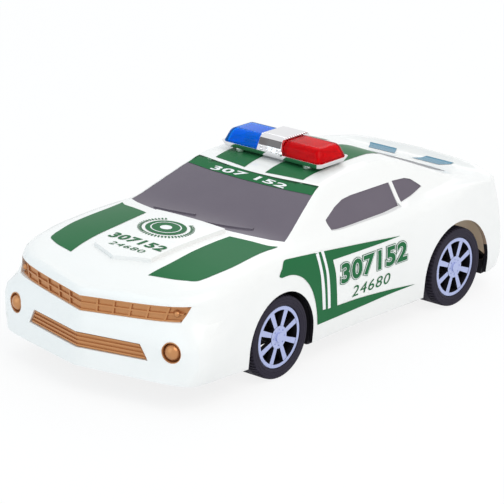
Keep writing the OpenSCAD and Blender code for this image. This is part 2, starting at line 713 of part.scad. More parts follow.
module upper_grille() {
    front = grille_depth - bar_rise * 0.9;
    back = grille_depth + grille_wall * 0.6;
    bar = grille_bar / half_width / 2;
    color("peru") {
        grille(upper_shares, 6, upper_row_shares);
        for (side = [-1, 1], share = grille_bar_shares)
            grille_skin(upper_shares, [side * share - bar, side * share + bar],
                [upper_row_shares[0], upper_row_shares[2]], front, back);
        for (side = [-1, 1]) {
            p = face_at(upper_shares, side * bead_share, 0.5);
            translate([nose_at(p[0], p[1]) - grille_depth, p[0], p[1]]) sphere(r = bead_radius);
        }
    }
}
module lower_grille() { color("peru") grille(lower_shares, 5, lower_row_shares); }
module fog_lamp() {
    lip = pane_depth;
    dish = fog_radius / 2;
    at_fog()
        rotate_extrude()
            polygon(concat([[0, -fog_length], [fog_radius, -fog_length], [fog_radius, 0],
                [fog_radius - lip, 0]], arc([0, -dish], bulb_radius, 0, 90, 8)));
}
module left_fog_lamp() { color("peru") fog_lamp(); }
module right_fog_lamp() { color("peru") mirror([0, 1, 0]) fog_lamp(); }
module tail_lamp() {
    function skin(depth) = [for (u = steps(6)) [for (v = [0, 1])
        let (y = half_width * mix(lamp_shares[0], lamp_shares[1], u),
            z = belt_height * mix(lamp_shares[2], lamp_shares[3], v))
        [tail_at(y, z) + depth, y, z]]];
    slab(skin(pane_depth + lamp_wall), skin(pane_depth));
}
module left_tail_lamp() { color("red") tail_lamp(); }
module right_tail_lamp() { color("red") mirror([0, 1, 0]) tail_lamp(); }

// Light bar
module rounded_box(from, to, low, high, radius, draft) {
    hull()
        for (x = [from[0] + radius, to[0] - radius], y = [from[1] + radius, to[1] - radius]) {
            dx = x < (from[0] + to[0]) / 2 ? draft[0] : -draft[0];
            dy = y < (from[1] + to[1]) / 2 ? draft[1] : -draft[2];
            translate([x, y, low]) cylinder(r = radius, h = overrun / 10, $fn = 32);
            translate([x + dx, y + dy, high - overrun / 10])
                cylinder(r = radius, h = overrun / 10, $fn = 32);
        }
}
clamp_share = 1.7;
clamp_z = roof_top - clamp_share * shell_wall;
bar_half = bar_length / 2;
bar_front = bar_x + bar_depth / 2;
bar_back = bar_x - bar_depth / 2;
bar_feet = [[bar_depth / 3, bar_length / 3], [-bar_depth / 3, bar_length / 3]];
function foot_top(p) = max([for (a = [0:45:315]) top_z(bar_x + p[0] + bar_round * cos(a),
    p[1] + bar_round * sin(a))]);
module lightbar_base() {
    color("silver") difference() {
        union() {
            rounded_box([bar_back + tray_draft, -bar_half + tray_draft],
                [bar_front - tray_draft, bar_half - tray_draft], bar_z, tray_z, bar_round,
                -tray_draft * [1, 1, 1]);
            mirrored() {
                translate([bar_x, bar_post_y, clamp_z])
                    cylinder(r = bar_post, h = bar_z + tray_height / 2 - clamp_z);
                for (p = bar_feet)
                    translate([bar_x + p[0], p[1], foot_top(p)])
                        cylinder(r = bar_round, h = tray_z - tray_height / 2 - foot_top(p));
            }
        }
        mirrored()
            translate([bar_x, bar_post_y, clamp_z - overrun])
                cylinder(r = screw_radius + press_fit, h = bar_z - clamp_z + overrun);
    }
}
module above(z) {
    intersection() {
        children();
        translate([-half_length, -half_width, z]) cube([body_length, body_width, roof_height]);
    }
}
module lightbar_bridge() {
    half = (bar_depth + lens_inset) / 2;
    crest = bridge_width / 2 - bridge_draft / 2;
    color("silver") difference() {
        above(tray_z) hull() {
            translate([bar_x - half, -bridge_width / 2, tray_z])
                cube([2 * half, bridge_width, overrun / 10]);
            for (side = [-1, 1])
                along_y(bar_x + side * (half - bridge_draft - bridge_round), -crest,
                    lens_z + bridge_rise - bridge_round)
                    cylinder(r = bridge_round, h = 2 * crest);
        }
        translate([bar_x, 0, tray_z - overrun])
            cylinder(r = bridge_width / 4, h = overrun + lens_height / 2);
    }
}
lens_from = bridge_width / 2 + seat_fit;
module lens_block(inset, low, high) {
    from = lens_from + inset;
    to = bar_half - lens_inset - inset;
    half = bar_depth / 2 - lens_inset - inset;
    foot = bar_round - inset / 2;
    round = lens_round - inset / 2;
    above(low) hull()
        for (side = [-1, 1]) {
            brow = bar_x + side * (half - lens_draft - round);
            for (y = [from + foot, to - foot])
                translate([bar_x + side * (half - foot), y, low])
                    cylinder(r = foot, h = overrun / 10, $fn = 32);
            along_y(brow, from, high - round) cylinder(r = round, h = overrun / 10, $fn = 32);
            translate([brow, to - lens_draft - round, high - round]) sphere(r = round, $fn = 32);
        }
}
module lens() {
    difference() {
        lens_block(0, tray_z, lens_z);
        lens_block(lens_wall, tray_z - overrun, lens_z - lens_wall);
    }
}
module red_lens() { color("red") lens(); }
module blue_lens() { color("royalblue") mirror([0, 1, 0]) lens(); }
lamp_y = (lens_from + bar_half) / 2;
module reflector() {
    dish = lens_height - 2 * lens_wall;
    difference() {
        translate([bar_back + lens_inset + 2.5 * lens_wall, lamp_y - dish, tray_z])
            cube([bar_depth / 3, 2 * dish, dish - lens_wall]);
        translate([bar_x + diode_radius, lamp_y, tray_z - overrun])
            cylinder(r = dish + diode_radius / 2, h = dish + overrun);
    }
}
module red_reflector() { color("silver") reflector(); }
module blue_reflector() { color("silver") mirror([0, 1, 0]) reflector(); }
module diode() {
    translate([bar_x + diode_radius, lamp_y, tray_z])
        rotate_extrude()
            polygon(concat([[0, 0], [diode_radius * 1.15, 0], [diode_radius * 1.15, diode_radius / 3],
                [diode_radius, diode_radius / 3]],
                arc([0, diode_radius * 0.8], diode_radius, 0, 90, 8)));
}
module red_diode() { color("mistyrose") diode(); }
module blue_diode() { color("lightcyan") mirror([0, 1, 0]) diode(); }
module lightbar_screws() {
    color("gray") mirrored() {
        translate([bar_x, bar_post_y, clamp_z - head_height])
            cylinder(r = head_radius + overrun, h = head_height);
        translate([bar_x, bar_post_y, clamp_z - head_height / 2])
            cylinder(r = screw_radius, h = bar_z - clamp_z);
    }
}

// Wheels, drawn along their axle from the middle of the car outward
rim_front = wheel_face - face_depth;
hub_back = wheel_back + slide_fit;
axle_end = rim_front - rim_face;
module on_axle(x, side) {
    translate([x, 0, axle_height]) rotate([-90 * side, 0, 0]) children();
}
module tyre() {
    ridge = tyre_round / 3;
    bead = rim_radius + press_fit;
    rotate_extrude()
        polygon(concat(
            [[bead, wheel_back + ridge], [bead + ridge * 2, wheel_back]],
            arc([tyre_radius - tyre_round, wheel_back + tyre_round], tyre_round, -90, 0, 6),
            arc([tyre_radius - tyre_round, wheel_face - tyre_round], tyre_round, 0, 90, 6),
            [[bead + ridge * 3, wheel_face], [bead + ridge * 2, wheel_face - ridge / 2],
                [bead, wheel_face - ridge]]
        ));
}
module rim() {
    lip = rim_wall / 2;
    well = rim_radius - rim_ring;
    bore = axle_radius + press_fit;
    nub = boss_radius * 0.6;
    set_in = seat_fit;
    narrow = spoke_width * 0.45;
    wide = spoke_width * 0.6;
    difference() {
        union() {
            rotate_extrude()
                polygon([
                    [rim_radius - rim_wall, hub_back], [rim_radius, hub_back],
                    [rim_radius, rim_front - lip], [rim_radius - lip / 2, rim_front],
                    [well, rim_front], [well, axle_end], [rim_radius - rim_wall, axle_end - rim_wall]
                ]);
            rotate_extrude()
                polygon([
                    [bore, hub_back], [boss_radius, hub_back], [boss_radius, axle_end],
                    [hub_radius, axle_end], [hub_radius, rim_front], [nub, rim_front],
                    [nub, rim_front + lip], [0, rim_front + lip],
                    [0, axle_end], [bore, axle_end]
                ]);
            for (i = [0:spoke_count - 1])
                rotate([0, 0, 360 * (i + 0.5) / spoke_count])
                    translate([0, 0, axle_end + set_in])
                        linear_extrude(rim_face - 2 * set_in)
                            polygon([
                                [hub_radius - overrun, -narrow], [well + overrun / 2, -wide],
                                [well + overrun / 2, wide], [hub_radius - overrun, narrow]
                            ]);
        }
        for (i = [0:spoke_count - 1])
            rotate([0, 0, 360 * i / spoke_count])
                translate([(hub_radius + nub) / 2, 0, rim_front - lip / 2])
                    cylinder(r = spoke_width / 6, h = lip);
    }
}
module axle(x) {
    along_y(x, -axle_end, axle_height) cylinder(r = axle_radius, h = 2 * axle_end);
}
module front_axle() { color("silver") axle(front_axle_x); }
module rear_axle() { color("silver") axle(rear_axle_x); }
module front_left_tyre() { color("black") on_axle(front_axle_x, 1) tyre(); }
module front_right_tyre() { color("black") on_axle(front_axle_x, -1) tyre(); }
module rear_left_tyre() { color("black") on_axle(rear_axle_x, 1) tyre(); }
module rear_right_tyre() { color("black") on_axle(rear_axle_x, -1) tyre(); }
module front_left_rim() { color("lavender") on_axle(front_axle_x, 1) rim(); }
module front_right_rim() { color("lavender") on_axle(front_axle_x, -1) rim(); }
module rear_left_rim() { color("lavender") on_axle(rear_axle_x, 1) rim(); }
module rear_right_rim() { color("lavender") on_axle(rear_axle_x, -1) rim(); }

// Battery bay, door and switch places
bay_length = cell_length + button_height + 2 * contact_wall + spring_room;
bay_width = 2 * cell_pitch + 2 * cell_radius + 2 * rib_wall;
bay_share = 0.33;
bay_x = mix(front_axle_x, rear_axle_x, bay_share);
cell_z = floor_z + slide_fit + cell_radius;
bay_top = cell_z + cell_radius + slide_fit;
door_length = bay_length + 2 * door_margin;
door_width = bay_width + 2 * door_margin;
door_from = bay_x - door_length / 2;
ear_x = bay_x + door_length / 2 + door_ear / 2;
ear_width = 3 * head_radius;
ear_wall = floor_wall + head_height;
bay_roof = bay_top + rib_wall;
board_z = bay_roof + rib_wall;
standoffs = [for (a = [-1, 1], b = [-1, 1]) [bay_x + a * board_length * 0.42, b * board_width * 0.38]];
switch_share = 0.645;
switch_x = mix(front_axle_x, rear_axle_x, switch_share);
switch_y = -switch_width * 3;
knob_from = switch_x - switch_travel / 2 - knob_length / 2;
knob_half = switch_width / 4;
speaker_share = 0.466;
speaker_x = mix(front_axle_x, half_length, speaker_share);

// Gear places
axle_pitch = gear_module * axle_teeth / 2;
small_pitch = gear_module * small_teeth / 2;
large_pitch = gear_module * large_teeth / 2;
pinion_pitch = gear_module * pinion_teeth / 2;
first_turn = 20;
second_turn = -10;
compound_x = rear_axle_x + (axle_pitch + small_pitch) * cos(first_turn);
compound_z = axle_height + (axle_pitch + small_pitch) * sin(first_turn);
motor_x = compound_x + (large_pitch + pinion_pitch) * cos(second_turn);
motor_z = compound_z + (large_pitch + pinion_pitch) * sin(second_turn);
right_plate_y = motor_length + plate_wall + motor_room + rib_wall - well_y;
large_y = right_plate_y + plate_wall + gear_gap;
small_y = large_y + gear_width;
axle_gear_y = small_y + gear_gap;
left_plate_y = axle_gear_y + gear_width + gear_gap;
plate_from = rear_axle_x - axle_pitch - gear_gap;
plate_to = motor_x + motor_radius;
plate_top = compound_z + large_pitch + 3 * spacer_radius;
spacers = [
    [rear_axle_x - spacer_radius, plate_top - 1.5 * spacer_radius],
    [motor_x + spacer_radius, plate_top - 1.5 * spacer_radius]
];

// Chassis outline just inside the shell's lower edge
floor_gap_share = 0.018;
floor_front_share = 0.7;
floor_front = mix(front_axle_x, half_length, floor_front_share);
nose_floor = sill_height + nose_lift;
function floor_ring(inset) =
    let (columns = body_columns(9, 12, 6), last = len(columns) - 1,
        half = [for (c = columns)
            let (z = foot_z(c, sill_height))
            along(c, outline_reach(c, z, end_inset(c, z) + inset, side_inset(c, z) + inset))])
    concat(half, [for (i = [last - 1:-1:1]) [half[i][0], -half[i][1]]]);
floor_inset = shell_wall + floor_gap_share * half_width;
// Plan of the floor pan: full width up to the front axle, then the room between the wheels
module pan_plan(inset) {
    half = well_y + rib_wall / 2 - inset;
    intersection() {
        polygon(floor_ring(floor_inset + inset));
        union() {
            translate([-half_length, -half_width]) square([half_length + front_axle_x, body_width]);
            translate([-half_length, -half]) square([half_length + floor_front - inset, 2 * half]);
        }
    }
}
// Plan of the raised floor around the pan, behind the bumper
module nose_plan() {
    difference() {
        intersection() {
            polygon(floor_ring(floor_inset));
            translate([front_axle_x, -half_width]) square([half_length, body_width]);
        }
        pan_plan(rib_wall / 3);
    }
}
house_width = half_width - shell_wall - floor_gap_share * half_width * 2 - well_y;
module well_cut(x, radius) {
    half = radius + rib_wall / 2;
    translate([x - half, well_y, floor_height - overrun]) cube([2 * half, half_width, roof_top]);
}
module bearing(x) {
    length = 2 * bearing_radius;
    leg = 1.6 * bearing_radius;
    along_y(x, well_y - length, axle_height)
        cylinder(r = bearing_radius, h = length + hub_back - well_y - slide_fit);
    translate([x - leg / 2, well_y - length + seat_fit, floor_height + floor_wall / 2])
        cube([leg, length - rib_wall / 2, axle_height - floor_height]);
}
module wheel_wall(x, radius, top) {
    translate([x - radius, well_y - rib_wall, floor_height])
        cube([2 * radius, rib_wall, top - floor_height]);
}
module rotate_about(x, turn) { translate([x, 0, 0]) rotate([0, 0, turn]) children(); }
module wheel_house(x, radius) {
    difference() {
        along_y(x, well_y - rib_wall, arch_height)
            cylinder(r = radius + rib_wall, h = house_width + rib_wall);
        along_y(x, well_y, arch_height) cylinder(r = radius, h = house_width + overrun);
        translate([x - 2 * radius, well_y - 2 * rib_wall, floor_height + floor_wall / 2 - 2 * radius])
            cube([4 * radius, half_width, 2 * radius]);
    }
}
module chassis_tray() {
    difference() {
        union() {
            translate([0, 0, floor_height]) linear_extrude(floor_wall) pan_plan(0);
            translate([0, 0, floor_height])
                linear_extrude(rim_height)
                    difference() {
                        pan_plan(0);
                        pan_plan(rib_wall);
                    }
            translate([0, 0, nose_floor]) linear_extrude(floor_wall) nose_plan();
            mirrored() {
                wheel_wall(rear_axle_x, rear_arch, rear_wall_height);
                for (place = posts)
                    translate([place[0], place[1], floor_height]) cylinder(r = cup_radius, h = cup_height);
            }
            translate([bay_x - bay_length / 2 - rib_wall, -bay_width / 2 - rib_wall, floor_height])
                cube([bay_length + 2 * rib_wall, bay_width + 2 * rib_wall, bay_roof - floor_height]);
            translate([door_from - 2 * rib_wall, -door_width / 2 - 2 * rib_wall, floor_height])
                cube([door_length + door_ear + 4 * rib_wall, door_width + 4 * rib_wall,
                    floor_wall + rib_wall]);
            translate([door_from + door_length - rib_wall, -ear_width / 2 - rib_wall, floor_height])
                cube([door_ear + 2 * rib_wall, ear_width + 2 * rib_wall, ear_wall + rib_wall]);
            translate([ear_x, 0, floor_height]) cylinder(r = head_radius + rib_wall, h = boss_height);
            for (p = standoffs)
                translate([p[0], p[1], bay_top]) cylinder(r = 2 * screw_radius, h = board_z - bay_top);
            translate([motor_x - motor_radius / 2, right_plate_y - motor_length, floor_height])
                cube([motor_radius, motor_length - rib_wall, motor_z - motor_height / 2 - floor_height]);
            translate([switch_x - switch_length / 2 - rib_wall, switch_y - switch_width / 2 - rib_wall,
                floor_height])
                cube([switch_length + 2 * rib_wall, switch_width + 2 * rib_wall,
                    floor_wall + switch_height / 2]);
            translate([speaker_x, 0, floor_height])
                cylinder(r = speaker_radius + rib_wall, h = floor_wall + rib_wall);
        }
        mirrored() {
            well_cut(front_axle_x, front_arch);
            well_cut(rear_axle_x, rear_arch);
            for (place = posts) translate([place[0], place[1], floor_height - overrun]) {
                cylinder(r = head_radius + slide_fit, h = cup_pocket + overrun);
                cylinder(r = screw_radius + slide_fit, h = cup_height + 2 * overrun);
            }
        }
        translate([bay_x - bay_length / 2, -bay_width / 2, floor_height - overrun])
            cube([bay_length, bay_width, bay_top - floor_height + overrun]);
        translate([door_from - slide_fit, -door_width / 2 - slide_fit, floor_height - overrun])
            cube([door_length + 2 * slide_fit, door_width + 2 * slide_fit, floor_wall + overrun]);
        translate([door_from + door_length, -ear_width / 2 - slide_fit, floor_height - overrun])
            cube([door_ear + slide_fit, ear_width + 2 * slide_fit, ear_wall + overrun]);
        translate([ear_x, 0, floor_height])
            cylinder(r = screw_radius + run_fit, h = boss_height + overrun);
        for (p = standoffs)
            translate([p[0], p[1], bay_roof]) cylinder(r = screw_radius + run_fit, h = board_z);
        translate([switch_x - switch_length / 2, switch_y - switch_width / 2, floor_z])
            cube([switch_length, switch_width, switch_height]);
        translate([knob_from - slide_fit, switch_y - knob_half - slide_fit, floor_height - overrun])
            cube([knob_length + switch_travel + 2 * slide_fit, 2 * knob_half + 2 * slide_fit, ear_wall]);
        translate([speaker_x, 0, floor_z]) cylinder(r = speaker_radius, h = speaker_height);
        for (i = [0:5])
            rotate_about(speaker_x, 60 * i)
                translate([speaker_radius / 2, 0, floor_height - overrun])
                    cylinder(r = speaker_radius / 8, h = floor_wall + 2 * overrun);
    }
}
module chassis() {
    color("black") difference() {
        union() {
            chassis_tray();
            mirrored() {
                wheel_house(front_axle_x, front_arch);
                bearing(front_axle_x);
                bearing(rear_axle_x);
            }
        }
        for (x = [front_axle_x, rear_axle_x])
            along_y(x, -half_width, axle_height) cylinder(r = axle_radius + run_fit, h = body_width);
    }
}
module battery_door() {
    color("black") difference() {
        union() {
            translate([door_from, -door_width / 2, floor_height])
                cube([door_length, door_width, floor_wall]);
            translate([door_from + door_length - overrun, -ear_width / 2, floor_height])
                cube([door_ear + overrun, ear_width, floor_wall]);
            translate([door_from + door_length + slide_fit, -ear_width / 2, floor_height])
                cube([door_ear - slide_fit, ear_width, ear_wall]);
        }
        translate([ear_x, 0, floor_height - overrun]) {
            cylinder(r = screw_radius + slide_fit, h = ear_wall + 2 * overrun);
            cylinder(r = head_radius + slide_fit, h = head_height + overrun);
        }
    }
}
module battery_door_screw() {
    color("gray") {
        translate([ear_x, 0, floor_height]) cylinder(r = head_radius, h = head_height);
        translate([ear_x, 0, floor_height + head_height / 2])
            cylinder(r = screw_radius, h = boss_height - head_height);
    }
}
cell_from = bay_x - bay_length / 2 + contact_wall + spring_room;
module facing(row) {
    if (row == 0) translate([2 * bay_x, 0, 0]) mirror([1, 0, 0]) children();
    else children();
}
module cells() {
    color("goldenrod") for (row = [-1, 0, 1])
        facing(row) {
            along_x(cell_from, row * cell_pitch, cell_z) cylinder(r = cell_radius, h = cell_length);
            along_x(cell_from + cell_length - overrun, row * cell_pitch, cell_z)
                cylinder(r = button_radius, h = button_height + overrun);
        }
}
module battery_contacts() {
    plate = 1.6 * cell_radius;
    color("silver") for (row = [-1, 0, 1])
        facing(row) {
            for (x = [bay_x - bay_length / 2, bay_x + bay_length / 2 - contact_wall])
                translate([x, row * cell_pitch - plate / 2, cell_z - plate / 2])
                    cube([contact_wall, plate, plate]);
            along_x(bay_x - bay_length / 2 + contact_wall / 2, row * cell_pitch, cell_z)
                cylinder(r1 = button_radius * 1.4, r2 = button_radius, h = spring_room + contact_wall / 2);
        }
}
knob_flange = switch_height / 3;
module power_switch_body() {
    room = knob_length + switch_travel + 2 * slide_fit;
    color("dimgray") difference() {
        translate([switch_x - switch_length / 2 + press_fit, switch_y - switch_width / 2 + press_fit,
            floor_z])
            cube([switch_length - 2 * press_fit, switch_width - 2 * press_fit, switch_height]);
        translate([knob_from - overrun - slide_fit, switch_y - knob_half - overrun - slide_fit,
            floor_z - overrun])
            cube([room + 2 * overrun, 2 * (knob_half + overrun + slide_fit),
                knob_flange + slide_fit + overrun]);
    }
}
module power_switch_knob() {
    proud = floor_wall / 2;
    color("red") {
        translate([knob_from, switch_y - knob_half, floor_height - proud])
            cube([knob_length, 2 * knob_half, proud + floor_wall + knob_flange]);
        translate([knob_from - overrun, switch_y - knob_half - overrun, floor_z])
            cube([knob_length + 2 * overrun, 2 * (knob_half + overrun), knob_flange]);
    }
}
module circuit_board() {
    chip = board_width / 4;
    color("green") difference() {
        union() {
            translate([bay_x - board_length / 2, -board_width / 2, board_z])
                cube([board_length, board_width, board_wall]);
            translate([bay_x - chip, -chip / 2, board_z]) cube([chip * 1.5, chip, board_wall * 2]);
            for (a = [-1, 1])
                translate([bay_x + board_length * 0.25, a * chip, board_z])
                    cylinder(r = chip / 3, h = board_wall + chip);
        }
        for (p = standoffs) translate([p[0], p[1], board_z - overrun])
            cylinder(r = screw_radius + run_fit, h = board_wall + 2 * overrun);
    }
}
module board_screws() {
    color("gray") for (p = standoffs) {
        translate([p[0], p[1], board_z + board_wall]) cylinder(r = head_radius, h = head_height);
        translate([p[0], p[1], bay_roof])
            cylinder(r = screw_radius, h = board_z + board_wall + head_height / 2 - bay_roof);
    }
}
module speaker() {
    color("dimgray") translate([speaker_x, 0, floor_z])
        rotate_extrude()
            polygon([
                [0, floor_wall], [speaker_radius * 0.3, floor_wall / 2],
                    [speaker_radius * 0.85, floor_wall / 3],
                [speaker_radius - seat_fit, 0], [speaker_radius - seat_fit, speaker_height / 3],
                [speaker_radius * 0.6, speaker_height / 2], [speaker_radius * 0.6, speaker_height],
                    [0, speaker_height]
            ]);
}
module body_screws() {
    color("gray") mirrored() for (place = posts) {
        translate([place[0], place[1], floor_height + cup_pocket - head_height])
            cylinder(r = head_radius, h = head_height);
        translate([place[0], place[1], floor_height + cup_pocket - head_height / 2])
            cylinder(r = screw_radius, h = screw_length + cup_height - cup_pocket);
    }
}

// Gears: involute teeth with slack, in the plane across the axle
pressure = 25;
tip_share = 0.8;
root_share = 1.1;
function unwound(a) = tan(a) * half_turn / PI - a;
function gear_ring(teeth, turn) =
    let (pitch = gear_module * teeth / 2, base = pitch * cos(pressure),
        tip = pitch + gear_module * tip_share, root = pitch - gear_module * root_share,
        low = max(base, root), half = 90 / teeth - gear_slack / 4 / pitch * half_turn / PI,
        radii = concat(root < base ? [root] : [], [for (k = [0:4]) mix(low, tip, k / 4)]),
            count = len(radii))
    [for (i = [0:teeth - 1], side = [-1, 1], k = [0:count - 1])
        let (r = radii[side < 0 ? k : count - 1 - k],
            a = turn + 360 * i / teeth + side
                * (half + unwound(pressure) - unwound(acos(min(1, base / max(r, base))))))
        r * [cos(a), sin(a)]];
module gear(x, y, z, teeth, turn, width) {
    translate([x, y + width, z]) rotate([90, 0, 0]) linear_extrude(width) polygon(gear_ring(teeth, turn));
}
module axle_gear() {
    color("ivory") difference() {
        gear(rear_axle_x, axle_gear_y, axle_height, axle_teeth, first_turn, gear_width);
        along_y(rear_axle_x, axle_gear_y - overrun, axle_height)
            cylinder(r = axle_radius + press_fit, h = gear_width + 2 * overrun);
    }
}
module compound_gear() {
    color("ivory") difference() {
        union() {
            gear(compound_x, small_y - gear_gap, compound_z, small_teeth,
                first_turn + half_turn * (1 + 1 / small_teeth),
                gear_width + 2 * gear_gap);
            gear(compound_x, large_y, compound_z, large_teeth, second_turn, gear_width);
        }
        along_y(compound_x, large_y - overrun, compound_z)
            cylinder(r = shaft_radius + run_fit, h = 3 * gear_width);
    }
}
module motor_pinion() {
    color("gold") difference() {
        gear(motor_x, large_y, motor_z, pinion_teeth, second_turn + half_turn * (1 + 1 / pinion_teeth),
            gear_width);
        along_y(motor_x, large_y - overrun, motor_z)
            cylinder(r = motor_shaft + press_fit, h = gear_width + 2 * overrun);
    }
}
motor_front = right_plate_y;
shaft_depth = gear_width;
module motor_spindle() {
    color("silver") along_y(motor_x, motor_front - shaft_depth, motor_z)
        cylinder(r = motor_shaft, h = shaft_depth + large_y + gear_width - motor_front);
}
module gear_shaft() {
    color("silver") along_y(compound_x, right_plate_y, compound_z)
        cylinder(r = shaft_radius, h = left_plate_y + plate_wall - right_plate_y);
}
module motor() {
    color("silver") difference() {
        union() {
            intersection() {
                along_y(motor_x, motor_front - motor_length, motor_z)
                    cylinder(r = motor_radius, h = motor_length);
                translate([motor_x - motor_radius, motor_front - motor_length, motor_z - motor_height / 2])
                    cube([2 * motor_radius, motor_length, motor_height]);
            }
            along_y(motor_x, motor_front - overrun, motor_z)
                cylinder(r = collar_radius, h = plate_wall + overrun);
            along_y(motor_x, motor_front - motor_length - plate_wall, motor_z)
                cylinder(r = collar_radius, h = plate_wall + overrun);
        }
        along_y(motor_x, motor_front - shaft_depth - gear_gap, motor_z)
            cylinder(r = motor_shaft + run_fit, h = 3 * shaft_depth);
    }
}
module gear_plate(y) {
    difference() {
        translate([plate_from, y, floor_z]) cube([plate_to - plate_from, plate_wall, plate_top - floor_z]);
        along_y(rear_axle_x, y - overrun, axle_height)
            cylinder(r = axle_radius + run_fit, h = plate_wall + 2 * overrun);
        along_y(compound_x, y - overrun, compound_z)
            cylinder(r = shaft_radius + press_fit, h = plate_wall + 2 * overrun);
        along_y(motor_x, y - overrun, motor_z)
            cylinder(r = collar_radius + press_fit, h = plate_wall + 2 * overrun);
        for (p = spacers)
            along_y(p[0], y - overrun, p[1])
                cylinder(r = screw_radius + press_fit, h = plate_wall + 2 * overrun);
    }
}
module left_gear_plate() { color("ivory") gear_plate(left_plate_y); }
module right_gear_plate() { color("ivory") gear_plate(right_plate_y); }
module gearbox_spacers() {
    from = right_plate_y + plate_wall;
    color("ivory") for (p = spacers)
        difference() {
            along_y(p[0], from, p[1]) cylinder(r = spacer_radius, h = left_plate_y - from);
            along_y(p[0], from - overrun, p[1])
                cylinder(r = screw_radius + press_fit, h = left_plate_y - from + 2 * overrun);
        }
}
module gearbox_screws() {
    to = left_plate_y + plate_wall;
    color("gray") for (p = spacers) {
        along_y(p[0], to, p[1]) cylinder(r = head_radius, h = head_height);
        along_y(p[0], right_plate_y, p[1])
            cylinder(r = screw_radius, h = to - right_plate_y + head_height / 2);
    }
}

body_shell();
windshield();
rear_window();
left_door_window();
right_door_window();
left_quarter_window();
right_quarter_window();
upper_grille();
lower_grille();
left_fog_lamp();
right_fog_lamp();
left_tail_lamp();
right_tail_lamp();
lightbar_base();
lightbar_bridge();
red_lens();
blue_lens();
red_reflector();
blue_reflector();
red_diode();
blue_diode();
lightbar_screws();
chassis();
battery_door();
battery_door_screw();
cells();
battery_contacts();
power_switch_body();
power_switch_knob();
circuit_board();
board_screws();
speaker();
body_screws();
front_axle();
rear_axle();
front_left_tyre();
front_right_tyre();
rear_left_tyre();
rear_right_tyre();
front_left_rim();
front_right_rim();
rear_left_rim();
rear_right_rim();
axle_gear();
compound_gear();
gear_shaft();
motor();
motor_spindle();
motor_pinion();
left_gear_plate();
right_gear_plate();
gearbox_spacers();
gearbox_screws();
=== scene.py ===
import json
import math
import bmesh
import bpy
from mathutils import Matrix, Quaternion, Vector
from mathutils.bvhtree import BVHTree


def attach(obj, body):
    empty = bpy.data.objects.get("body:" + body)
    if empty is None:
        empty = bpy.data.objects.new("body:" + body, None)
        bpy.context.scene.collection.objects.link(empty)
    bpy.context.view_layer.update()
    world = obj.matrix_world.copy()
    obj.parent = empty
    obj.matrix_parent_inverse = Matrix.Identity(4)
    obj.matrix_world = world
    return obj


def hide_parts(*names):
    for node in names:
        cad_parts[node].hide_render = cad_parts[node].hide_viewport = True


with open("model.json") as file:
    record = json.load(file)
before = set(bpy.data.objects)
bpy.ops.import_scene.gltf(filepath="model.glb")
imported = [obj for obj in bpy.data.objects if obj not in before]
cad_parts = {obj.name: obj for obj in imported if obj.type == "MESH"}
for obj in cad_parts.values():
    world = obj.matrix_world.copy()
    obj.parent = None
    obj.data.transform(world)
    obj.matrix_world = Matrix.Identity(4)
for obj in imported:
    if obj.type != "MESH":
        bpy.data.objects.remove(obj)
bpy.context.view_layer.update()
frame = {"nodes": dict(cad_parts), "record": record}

mm = 0.001
bodyOf = {n: b for b, names in frame["record"]["behaviour"]["bodies"].items() for n in names}
hinges = [joint for joint in frame["record"]["behaviour"]["joints"] if joint["type"] == "hinge"]
axleAt = {joint["child"]: joint["pos_m"][0] / mm for joint in hinges}
print("frame loaded,", len(frame["nodes"]), "nodes")

